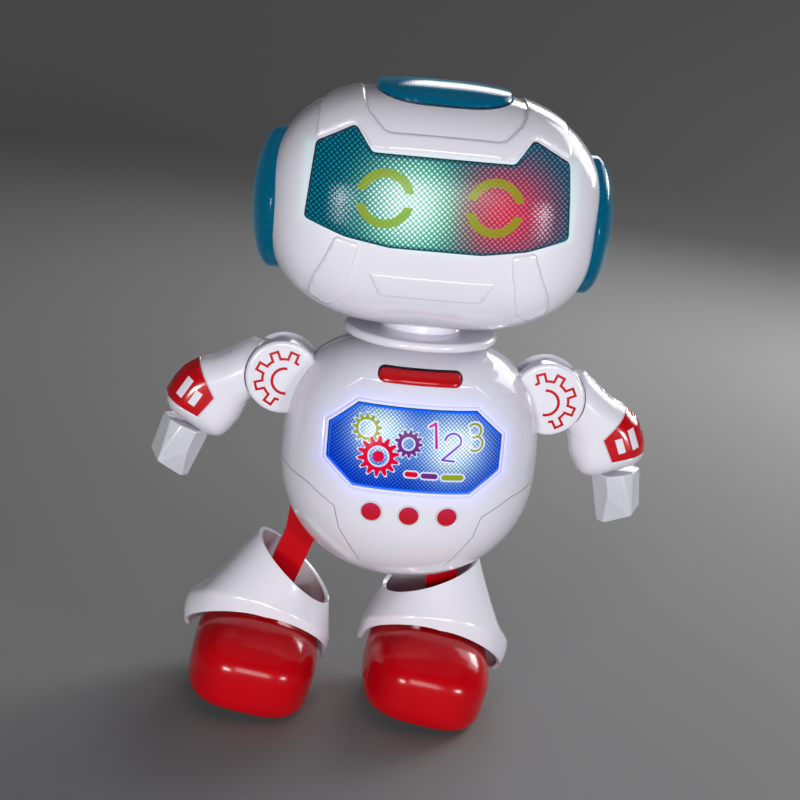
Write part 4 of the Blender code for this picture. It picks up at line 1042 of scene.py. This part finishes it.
def build_shoulders(settings):
    """Shoulder discs of both shells: the front ones carry the printed gears."""
    plain = white_plastic("rear_disc_paint", settings.colours)
    for side, word in SIDES:
        spot = home() @ Matrix.Translation((side * SHOULDER.x, 0, SHOULDER.z))
        thick = DISC_BACK - DISC_FRONT
        profile = [(0.0, 0.0), (DISC_RADIUS - DISC_RIM, 0.0), (DISC_RADIUS, DISC_RIM)]
        profile += arc_profile((DISC_RADIUS - 0.0014, thick - 0.0016), (0.0014, 0.0012), 0, 90, 8)
        profile += [(DISC_RADIUS - 0.0030, thick - 0.0003), (0.0060, thick - 0.0001), (0.0, thick)]
        bm = spun(profile, "-Y")
        bmesh.ops.translate(bm, verts=bm.verts, vec=(0, DISC_BACK, 0))
        disc = new_piece(f"shoulder_disc_{word}", bm, spot)
        paint = white_plastic(f"shoulder_disc_{word}_paint", settings.colours, disc_prints(side))
        place_piece(disc, paint, "torso", "white_shell", "torso_front_shell")
        thick = REAR_DISC_BACK - BOSS_BACK
        profile = [(0.0, 0.0), (DISC_RADIUS - DISC_RIM, 0.0), (DISC_RADIUS, DISC_RIM),
                   (DISC_RADIUS - 0.0006, 0.0014)]
        profile += arc_profile((REAR_DISC_TIP - 0.0010, thick - 0.0012), (0.0012, 0.0012), 20, 90, 6)
        profile += [(0.0, thick)]
        bm = spun(profile, "+Y")
        bmesh.ops.translate(bm, verts=bm.verts, vec=(0, BOSS_BACK, 0))
        rear = new_piece(f"shoulder_disc_rear_{word}", bm, spot)
        place_piece(rear, plain, "torso", "white_shell", "torso_rear_shell")


def build_panels(settings):
    """Window, chest bar and battery door."""
    finish = (window_lens(settings.colours, settings.sizes), "torso", "blue_lens")
    panel_piece("window", TORSO, "front", rounded(mirrored(WINDOW_SIDE), 0.0010),
                (0.0004, 0.0008, 0.0012, 0.0005), LENS_WALL, finish, "window_lens")
    finish = (red_plastic("chest_bar_paint", settings.colours), "torso", "red_plastic")
    panel_piece("chest_bar_cover", TORSO, "front", capsule(*BAR_HALF, BAR_Z),
                (0.0004, 0.0010, 0.0010, 0.0005), SHELL_WALL, finish, "chest_bar")
    outline = superellipse(DOOR_HALF, DOOR_POWER, 64, (0, DOOR_Z))
    bm = patch(TORSO, "back", outline, 0.0, 0.0007, 0.0018, sunk=0.0004)
    door = new_piece("battery_door_cover", bm)
    give_wall(door, SHELL_WALL)
    hole = add_rod(bmesh.new(), (0, 0.0200, SCREW_Z), "Y", 0.0200, SCREW_RADIUS)
    seat = add_rod(bmesh.new(), (0, SCREW_SEAT_Y, SCREW_Z), "Y", 0.0200, SCREW_SEAT_RADIUS)
    carve(door, hole, seat)
    door.data.transform(home())
    paint = white_plastic("battery_door_paint", settings.colours)
    place_piece(door, paint, "battery_door", "white_shell", "battery_door")
    for i in range(4):
        outline = capsule(RIDGE_HALF[0] - RIDGE_SHORTER * i, RIDGE_HALF[1], RIDGE_TOP - RIDGE_PITCH * i, 6)
        panel_piece(f"battery_door_ridge_{i + 1}", TORSO, "back", outline, (0.0005, 0.0005, 0.0016, 0.0004),
                    0.0008, (paint, "battery_door", "white_shell"), swell=-0.0001)


def build_neck(settings):
    """Turning collar between body and head."""
    hole, hub, top, foot = POST_RADIUS + GAP, HUB_RADIUS, HUB_TOP, HUB_FOOT
    profile = [(hole, top), (hub - HUB_ROUND, top), (hub, top - HUB_ROUND), (hub, foot),
               (hub + GAP, foot - GAP)]
    profile += arc_profile((COLLAR_RADIUS - FLANGE_ROUND[0], FLANGE_Z), FLANGE_ROUND, 90, -90, 12)
    profile += [(hole, NECK_Z), (hole, top)]
    collar = new_piece("collar", spun(profile, "+Z"), home())
    place_piece(collar, white_plastic("collar_paint", settings.colours), "head", "white_shell", "neck_collar")


# ---------------------------------------------------------------- head
def build_head(settings):
    """Front and rear shells of the head."""
    paint = white_plastic("head_shell_paint", settings.colours, head_painted_visor_glow)
    for name, sense in (("head_front", 1), ("head_rear", -1)):
        bm = keep_side(HEAD.solid(HEAD_SINK, 176, 104), (0, -sense * GAP, 0), (0, sense, 0))
        shell = new_piece(name, bm)
        give_wall(shell, SHELL_WALL - 0.0004)
        ears = bmesh.new()
        for side in (-1, 1):
            start = EAR_CUT if side > 0 else -EAR_CUT - EAR_CUT_DEEP
            add_rod(ears, (start, 0, EAR_Z), "X", EAR_CUT_DEEP, EAR_RADIUS + GAP, segments=96)
        lamp = superellipse((LAMP_HALF[0] + GAP, LAMP_HALF[1] + GAP), LAMP_POWER, 64)
        cuts = [ears, add_slab(bmesh.new(), lamp, *LAMP_CUT, axis="Z"),
                add_rod(bmesh.new(), (0, 0, HUB_HOLE_Z), "Z", HUB_HOLE_TALL, HUB_HOLE)]
        if sense > 0:
            hole = grown(rounded(mirrored(VISOR_SIDE), VISOR_ROUND), GAP)
            cuts.append(add_slab(bmesh.new(), hole, *VISOR_CUT))
        else:
            for i, half in enumerate(VENT_HALVES):
                level = HEAD.centre[2] + (i - len(VENT_HALVES) // 2) * VENT_PITCH
                cuts.append(add_slab(bmesh.new(), capsule(half, VENT_HEIGHT, level, 6), *VENT_CUT))
        carve(shell, *cuts)
        shell.data.transform(home())
        node = "head_front_shell" if sense > 0 else "head_rear_shell"
        place_piece(shell, paint, "head", "white_shell", node)


def on_head(x, z):
    """A point of the head's front in the chart that runs over it."""
    starts, ways = HEAD.chart("front", np.array([(x, z)]))
    spot = HEAD.reach(starts, ways, HEAD_SINK)[0]
    return (x, float(np.arctan2(spot[2] - HEAD.centre[2], -spot[1])) * HEAD.half[1])


def build_head_panels(settings):
    """Raised brow and straps, cheek straps and chin panel."""
    sizes = settings.sizes
    finish = (white_plastic("head_panel_paint", settings.colours), "head", "white_shell")

    def raise_panel(name, outline, share, wall):
        """One panel that rises by a share of the panel rise."""
        form = (sizes.rise * share, sizes.edge, sizes.pitch, 0.0005)
        panel_piece(name, HEAD, "over", outline, form, wall, finish, swell=HEAD_SINK, sharp=60)

    brow = [
        on_head(0.0185, 0.2036), over(0.0243, 48.5), over(0.0258, 60), over(0.0262, 90), over(0.0268, 118),
        over(0.0355, 122), over(0.0385, 90), over(0.0402, 66), on_head(0.0408, 0.1990),
        on_head(0.0284, 0.2053), on_head(0.0222, 0.1977),
    ]
    raise_panel("brow_and_straps", rounded(mirrored(brow), 0.0022), 1.0, PANEL_WALL)
    cheek = [on_head(*corner) for corner in ((0.0236, 0.1687), (0.0318, 0.1709), (0.0385, 0.1560),
                                             (0.0400, 0.1500), (0.0330, 0.1455), (0.0285, 0.1480))]
    for side, word in SIDES:
        strap = rounded([(side * u, v) for u, v in cheek], 0.0020)
        raise_panel(f"cheek_strap_{word}", strap, 0.75, PANEL_WALL)
    corners = ((-0.0210, 0.1600), (0.0210, 0.1600), (0.0165, 0.1515), (-0.0165, 0.1515))
    chin = rounded([on_head(*corner) for corner in corners], 0.0015)
    raise_panel("chin_panel", chin, 0.55, 0.0010)


def build_head_lenses(settings):
    """Visor, top lamp and ear domes."""
    sizes = settings.sizes
    finish = (visor_lens(settings.colours, sizes), "head", "teal_lens")
    panel_piece("visor", HEAD, "front", rounded(mirrored(VISOR_SIDE), VISOR_ROUND),
                (0.0004, 0.0009, 0.0014, 0.0005), LENS_WALL, finish, "visor_lens", swell=HEAD_SINK, sharp=60)
    finish = (teal_lens("top_lamp_paint", sizes, (0.0, 0.0), "top", 0.55), "head", "teal_lens")
    panel_piece("top_lamp", HEAD, "top", superellipse(LAMP_HALF, LAMP_POWER, 72),
                (LAMP_PROUD, 0.0014, 0.0014, 0.0004), LAMP_WALL, finish, "head_lamp", sharp=60)
    inner, tall = EAR_RADIUS - LAMP_WALL, EAR_TIP - EAR_SHOULDER
    profile = arc_profile((0.0, EAR_SHOULDER), (EAR_RADIUS, tall), 90, 0, 22)
    profile += [(EAR_RADIUS, EAR_ROOT + 0.0003), (EAR_RADIUS - 0.0003, EAR_ROOT), (inner, EAR_ROOT)]
    profile += arc_profile((0.0, EAR_SHOULDER - LAMP_WALL / 4), (inner, tall - LAMP_WALL), 0, 90, 12)
    paint = teal_lens("ear_paint", sizes, (0.0, EAR_Z / MM), "side", 0.5)
    for side, word in SIDES:
        bm = spun(profile, "+X" if side > 0 else "-X")
        bmesh.ops.translate(bm, verts=bm.verts, vec=(0, 0, EAR_Z))
        ear = new_piece(f"ear_{word}", bm, home())
        place_piece(ear, paint, "head", "teal_lens", f"ear_lens_{word}")


# ---------------------------------------------------------------- arms
def pillow(outline, mating, outer, edge, pitch=0.0012):
    """Half of a soft limb: flat outline on the mating plane, swelling to its outer face."""
    bm = flat_grid(outline, (0.0003, 0.0006), pitch)
    flat = np.array([(vert.co.x, vert.co.z) for vert in bm.verts])
    share = np.clip(border_distance(flat, outline) / edge, 0, 1)
    height = np.sqrt(1 - (1 - share) ** 2)
    for vert, lift in zip(bm.verts, height):
        vert.co.y = mating + (outer - mating) * lift
    free = [vert for vert in bm.verts if not vert.is_boundary]
    for _ in range(8):
        bmesh.ops.smooth_vert(bm, verts=free, factor=0.5, use_axis_y=True)
    bmesh.ops.edgeloop_fill(bm, edges=[edge for edge in bm.edges if edge.is_boundary])
    bmesh.ops.recalc_face_normals(bm, faces=bm.faces)
    return bm


def build_arms(settings):
    """Both arms: moulded halves with armbands, and faceted hands."""
    hand_paint = frosted_plastic()
    boss = [(BOSS_RADIUS * cos(radians(t)), BOSS_RADIUS * sin(radians(t))) for t in range(-65, -296, -10)]
    for side, word in SIDES:
        outline = rounded([(side * u, v) for u, v in (*ARM_OUTLINE, *boss)], 0.0012, 2)
        front_paint = white_plastic(f"arm_front_{word}_paint", settings.colours, arm_prints(side))
        rear_paint = white_plastic(f"arm_rear_{word}_paint", settings.colours)
        halves = (("arm_front", ARM_SPLIT - 0.0001, ARM_FRONT, 0.0080, front_paint),
                  ("arm_rear", ARM_SPLIT, ARM_BACK, 0.0070, rear_paint))
        for name, mating, outer, edge, paint in halves:
            half = new_piece(f"{name}_shell_{word}", pillow(outline, mating, outer, edge))
            cuts = [add_rod(bmesh.new(), (0, -0.0110, 0), "Y", BOSS_FRONT + 0.0110, ARM_CLEAR, segments=96),
                    add_rod(bmesh.new(), (0, BOSS_BACK, 0), "Y", 0.0100, ARM_CLEAR, segments=96)]
            carve(half, *cuts)
            half.data.transform(arm_place(side))
            place_piece(half, paint, f"arm_{word}", "white_shell", f"{name}_{word}", sharp=50)
        hand = new_piece(f"hand_block_{word}", hand_block(side), arm_place(side))
        soften(hand, 0.0007, 3, 20)
        place_piece(hand, hand_paint, f"arm_{word}", "frosted_plastic", f"hand_{word}", sharp=30)


def hand_block(side):
    """A faceted hand: a tapered block with a slanted palm and a notch under its outer edge."""
    wrist = Vector((side * WRIST.x, ARM_SPLIT, WRIST.y))
    reach = Vector((side * HAND_TIP.x, ARM_SPLIT, HAND_TIP.y)) - wrist
    along = reach.normalized()
    turn = along.to_track_quat("Z", "Y").to_matrix().to_4x4()
    bm = bmesh.new()
    length = reach.length - 0.0010
    bmesh.ops.create_cone(bm, cap_ends=True, segments=6, radius1=0.0087, radius2=0.0078, depth=length,
                          matrix=Matrix.Translation(wrist + along * (0.0010 + length / 2)) @ turn)
    across = Vector((along.z, 0, -along.x))
    if across.x * side < 0:
        across = -across
    axes = (along, across, Vector((0, 1, 0)))
    cuts = (                               # a point and a direction, each along, across and behind the hand
        ((0.0130, -0.0010, -0.0068), (0.30, -0.30, -0.93)),
        ((0.0070, 0.0040, -0.0066), (-0.05, 0.42, -0.90)),
        ((0.0165, 0.0040, 0.0), (0.90, 0.30, 0.0)),
        ((0.0120, 0.0, 0.0064), (0.25, 0.0, 0.95)),
    )
    for cut in cuts:
        offset, normal = (sum((axis * part for axis, part in zip(axes, parts)), Vector()) for parts in cut)
        point = wrist + offset
        made = bmesh.ops.bisect_plane(bm, geom=bm.verts[:] + bm.edges[:] + bm.faces[:], dist=CUT,
                                      plane_co=point, plane_no=normal, clear_outer=True)["geom_cut"]
        rim = [item for item in made if isinstance(item, bmesh.types.BMEdge)]
        bmesh.ops.contextual_create(bm, geom=rim)
    bmesh.ops.recalc_face_normals(bm, faces=bm.faces)
    return bm


# ---------------------------------------------------------------- legs
def boot_surface(side):
    """Flared boot collar: an arch over the toe below, a slanted open mouth above."""
    levels, turns = 26, 112
    bm = bmesh.new()
    column = [bm.verts.new((0, -1, i / (levels - 1))) for i in range(levels)]
    for low, high in zip(column, column[1:]):
        bm.edges.new((low, high))
    bmesh.ops.spin(bm, geom=bm.verts[:] + bm.edges[:], cent=(0, 0, 0), axis=(0, 0, 1), angle=2 * pi,
                   steps=turns, use_merge=True)
    bmesh.ops.remove_doubles(bm, verts=bm.verts, dist=0.0001)
    for vert in bm.verts:
        vert.co = boot_point(vert.co, side)
    face_outward(bm, Vector((0, 0, 0.0250)))
    return bm


def boot_point(unit, side):
    """Carry a point of a unit tube onto the boot: x outward, y back, z from edge to mouth."""
    out, back, level = unit.x, unit.y, unit.z
    reach = (abs(out) ** BOOT_POWER + abs(back) ** BOOT_POWER) ** (-1 / BOOT_POWER)
    low = Vector((BOOT_HALF[0] * reach * out, BOOT_BACK + BOOT_HALF[1] * reach * back,
                  BOOT_EDGE + BOOT_EDGE_SIDE * abs(out) + BOOT_ARCH * max(0.0, -back) ** 1.1))
    top = Vector(MOUTH_MIDDLE) + Vector((MOUTH_HALF[0] * out, MOUTH_HALF[1] * back, MOUTH_SLANT * out))
    point = low.lerp(top, max(0.0, (level - BOOT_STRAIGHT) / (1 - BOOT_STRAIGHT)))
    point.z = low.z + (top.z - low.z) * level
    point.x += ANKLE_BULGE * max(0.0, out) ** 6 * max(0.0, 1 - ((point.z - ANKLE_Z) / ANKLE_REACH) ** 2)
    return Vector((side * point.x, point.y, point.z))


def build_legs(settings):
    """Struts, boots, shoes and soles."""
    red = red_plastic("shoe_paint", settings.colours)
    white = white_plastic("boot_paint", settings.colours)
    black = plain_paint("sole_paint", (0.03, 0.03, 0.033), 0.45, 0.0, 1500.0, 0.2, 0.03)
    for side, word in SIDES:
        body, place = f"leg_{word}", foot_place(side)
        strut = new_piece(f"leg_strut_{word}", node_copy(f"strut_{word}"))
        soften(strut, 0.0005, 3)
        place_piece(strut, red, body, "red_plastic", f"strut_{word}")
        boot = new_piece(f"boot_cuff_{word}", boot_surface(side), place)
        give_wall(boot, BOOT_WALL, settled=False)
        soften(boot, 0.0005, 3, 50)
        place_piece(boot, white, body, "white_shell", f"boot_{word}")
        bm = keep_side(SHOE.solid(0.0, 128, 80), (0, 0, SHOE_RIM), (0, 0, -1))
        shoe = new_piece(f"shoe_shell_{word}", bm)
        give_wall(shoe, SHOE_WALL)
        ends = sorted(side * x for x in STRUT_SLOT_X)
        slot = add_box(bmesh.new(), (ends[0], -STRUT_SLOT_HALF, STRUT_SLOT_Z[0]),
                       (ends[1], STRUT_SLOT_HALF, STRUT_SLOT_Z[1]))
        start = (AXLE_HOLE_X[word], AXLE_HOLE_Y, AXLE_HOLE_Z)
        carve(shoe, slot, add_rod(bmesh.new(), start, "X", AXLE_HOLE_DEEP, AXLE_HOLE_RADIUS))
        shoe.data.transform(place)
        place_piece(shoe, red, body, "red_plastic", f"shoe_{word}")
        sole = new_piece(f"sole_plate_{word}", node_copy(f"sole_{word}"))
        soften(sole, 0.0002, 2)
        place_piece(sole, black, body, "black_plastic", f"sole_{word}")


# ---------------------------------------------------------------- inside
def build_inside(settings):
    """Finishes for the CAD pieces that stay: drive, cells, boards, pins and wheels."""
    steel = plain_paint("steel_paint", (0.62, 0.62, 0.64), 0.22, 1.0, 900.0, 0.15, 0.004)
    can = plain_paint("motor_can_paint", (0.55, 0.55, 0.56), 0.28, 1.0, 600.0, 0.15, 0.006)
    natural = plain_paint("natural_plastic_paint", (0.72, 0.70, 0.62), 0.35, 0.0, 700.0, 0.15, 0.01)
    black = plain_paint("black_plastic_paint", (0.02, 0.02, 0.022), 0.38, 0.0, 1200.0, 0.18, 0.02)
    rubber = plain_paint("wheel_paint", (0.03, 0.03, 0.03), 0.6, 0.0, 1500.0, 0.2, 0.03)
    cone = plain_paint("speaker_paint", (0.07, 0.07, 0.075), 0.5, 0.0, 2000.0, 0.2, 0.03)
    light = plain_paint("light_paint", (0.80, 0.85, 0.90), 0.12, 0.0, 500.0, 0.05, 0.005)
    board, cell = board_paint(), cell_paint()
    chosen = {"battery_door_screw": steel, "motor": can, "crank_axle": steel, "power_switch_knob": black,
              "visor_light_board": board, "window_light_board": board, "speaker": cone,
              "battery_tray": natural, "neck_post": natural, "neck_retainer": natural}
    rules = (("_pin_", steel), ("wheel_axle", steel), ("wheel_", rubber), ("_led_", light),
             ("battery_1", cell), ("battery_2", cell), ("battery_3", cell), ("gear", natural),
             ("pinion", natural), ("plate", natural), ("tie_bar", natural))
    for name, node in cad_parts.items():
        paint = chosen.get(name)
        for part, finish in rules:
            if paint is None and part in name:
                paint = finish
        if paint is None or not node.material_slots:
            continue
        for holder in node.material_slots:
            holder.link = "OBJECT"
            holder.material = paint


# ---------------------------------------------------------------- stage
def area_light(name, place, target, size, power, colour):
    """A soft rectangular light that faces a point."""
    data = bpy.data.lights.new(name, "AREA")
    data.shape, data.size, data.size_y = "RECTANGLE", size[0], size[1]
    data.energy, data.color = power, colour
    made = bpy.data.objects.new(name, data)
    made.location = place
    made.rotation_euler = (Vector(target) - Vector(place)).to_track_quat("-Z", "Y").to_euler()
    bpy.context.scene.collection.objects.link(made)


def build_stage(settings):
    """Camera, plain floor and soft studio light."""
    turn, rise, roll = CAMERA_TURN, CAMERA_RISE, CAMERA_ROLL
    back = Vector((sin(turn) * cos(rise), -cos(turn) * cos(rise), sin(rise)))
    right = Vector((cos(turn), sin(turn), 0))
    up = back.cross(right)
    tilted_right = right * cos(roll) + up * sin(roll)
    tilted_up = up * cos(roll) - right * sin(roll)
    data = bpy.data.cameras.new("camera")
    data.lens, data.sensor_width = CAMERA_LENS, CAMERA_WIDTH
    data.clip_start, data.clip_end = CAMERA_CLIP
    camera = bpy.data.objects.new("camera", data)
    rows = Matrix((tilted_right, tilted_up, back)).transposed().to_4x4()
    camera.matrix_world = Matrix.Translation(CAMERA_AIM + back * CAMERA_AWAY) @ rows
    bpy.context.scene.collection.objects.link(camera)
    bpy.context.scene.camera = camera

    flat, bend, tall = FLOOR_FLAT, FLOOR_BEND, FLOOR_TALL
    profile = [(0.0, 0.0), (flat / 2, 0.0), (flat, 0.0)]
    profile += [(flat + bend * sin(radians(t)), bend - bend * cos(radians(t))) for t in range(6, 91, 6)]
    floor = new_piece("floor", spun([*profile, (flat + bend, tall)], "+Z"))
    floor.data.flip_normals()
    floor.data.shade_smooth()
    paint = Paint("floor_paint")
    tone = settings.colours.floor
    colour = paint.mix(paint.noise(3.0, 4.0), tone, tuple(c * 0.95 for c in tone))
    floor.data.materials.append(paint.set({"Base Color": colour, "Roughness": 0.75}))

    for light in LIGHTS:
        area_light(*light)
    world = bpy.data.worlds.new("studio")
    world.use_nodes = True
    world.node_tree.nodes["Background"].inputs["Color"].default_value = SURROUND
    world.node_tree.nodes["Background"].inputs["Strength"].default_value = SURROUND_STRENGTH
    bpy.context.scene.world = world
    bpy.context.scene.view_settings.view_transform = "Standard"


# ---------------------------------------------------------------- add-on
class BuildPieces:
    """Shared run of the building operators."""

    bl_options = {"REGISTER", "UNDO"}
    work = None

    def execute(self, context):
        """Build this group's pieces with the scene's settings."""
        type(self).work(context.scene.toy_robot)
        return {"FINISHED"}


class TOYROBOT_OT_torso(BuildPieces, bpy.types.Operator):
    """Build the front and rear shells of the body"""

    bl_idname, bl_label = "toy_robot.torso", "Body shells"
    work = staticmethod(build_torso)


class TOYROBOT_OT_shoulders(BuildPieces, bpy.types.Operator):
    """Build the shoulder discs with their printed gears"""

    bl_idname, bl_label = "toy_robot.shoulders", "Shoulder discs"
    work = staticmethod(build_shoulders)


class TOYROBOT_OT_panels(BuildPieces, bpy.types.Operator):
    """Build the window, the chest bar and the battery door"""

    bl_idname, bl_label = "toy_robot.panels", "Window, bar and door"
    work = staticmethod(build_panels)


class TOYROBOT_OT_neck(BuildPieces, bpy.types.Operator):
    """Build the turning collar"""

    bl_idname, bl_label = "toy_robot.neck", "Neck collar"
    work = staticmethod(build_neck)


class TOYROBOT_OT_head(BuildPieces, bpy.types.Operator):
    """Build the front and rear shells of the head"""

    bl_idname, bl_label = "toy_robot.head", "Head shells"
    work = staticmethod(build_head)


class TOYROBOT_OT_head_panels(BuildPieces, bpy.types.Operator):
    """Build the raised brow, straps and chin of the head"""

    bl_idname, bl_label = "toy_robot.head_panels", "Head panels"
    work = staticmethod(build_head_panels)


class TOYROBOT_OT_head_lenses(BuildPieces, bpy.types.Operator):
    """Build the visor, the top lamp and the ears"""

    bl_idname, bl_label = "toy_robot.head_lenses", "Visor, lamp and ears"
    work = staticmethod(build_head_lenses)


class TOYROBOT_OT_arms(BuildPieces, bpy.types.Operator):
    """Build both arms and hands"""

    bl_idname, bl_label = "toy_robot.arms", "Arms and hands"
    work = staticmethod(build_arms)


class TOYROBOT_OT_legs(BuildPieces, bpy.types.Operator):
    """Build the struts, boots, shoes and soles"""

    bl_idname, bl_label = "toy_robot.legs", "Legs and feet"
    work = staticmethod(build_legs)


class TOYROBOT_OT_inside(BuildPieces, bpy.types.Operator):
    """Give the pieces inside the robot their finishes"""

    bl_idname, bl_label = "toy_robot.inside", "Inside pieces"
    work = staticmethod(build_inside)


class TOYROBOT_OT_stage(BuildPieces, bpy.types.Operator):
    """Set the camera, the floor and the lights"""

    bl_idname, bl_label = "toy_robot.stage", "Stage"
    work = staticmethod(build_stage)


OPERATORS = (
    TOYROBOT_OT_torso, TOYROBOT_OT_shoulders, TOYROBOT_OT_panels, TOYROBOT_OT_neck, TOYROBOT_OT_head,
    TOYROBOT_OT_head_panels, TOYROBOT_OT_head_lenses, TOYROBOT_OT_arms, TOYROBOT_OT_legs,
    TOYROBOT_OT_inside, TOYROBOT_OT_stage,
)


class TOYROBOT_PT_build(bpy.types.Panel):
    """Settings and building steps of the toy robot"""

    bl_idname, bl_label = "TOYROBOT_PT_build", "Toy robot"
    bl_space_type, bl_region_type, bl_category = "VIEW_3D", "UI", "Toy robot"

    def draw(self, context):
        """List the settings, then one button for each group of pieces."""
        settings = context.scene.toy_robot
        for group in (settings.colours, settings.sizes):
            box = self.layout.box()
            for key in group.bl_rna.properties.keys():
                if key not in ("rna_type", "name"):
                    box.prop(group, key)
        for operator in OPERATORS:
            self.layout.operator(operator.bl_idname)


CLASSES = (ToyRobotColours, ToyRobotSizes, ToyRobotSettings, *OPERATORS, TOYROBOT_PT_build)


def register():
    """Register the classes and the scene's settings."""
    for item in CLASSES:
        bpy.utils.register_class(item)
    bpy.types.Scene.toy_robot = PointerProperty(type=ToyRobotSettings, name="Toy robot")


def unregister():
    """Take the settings and the classes away again."""
    del bpy.types.Scene.toy_robot
    for item in reversed(CLASSES):
        bpy.utils.unregister_class(item)


def main():
    """Build the whole robot."""
    register()
    for operator in OPERATORS:
        group, name = operator.bl_idname.split(".")
        getattr(getattr(bpy.ops, group), name)()
    bpy.context.view_layer.update()


if __name__ == "__main__":
    main()
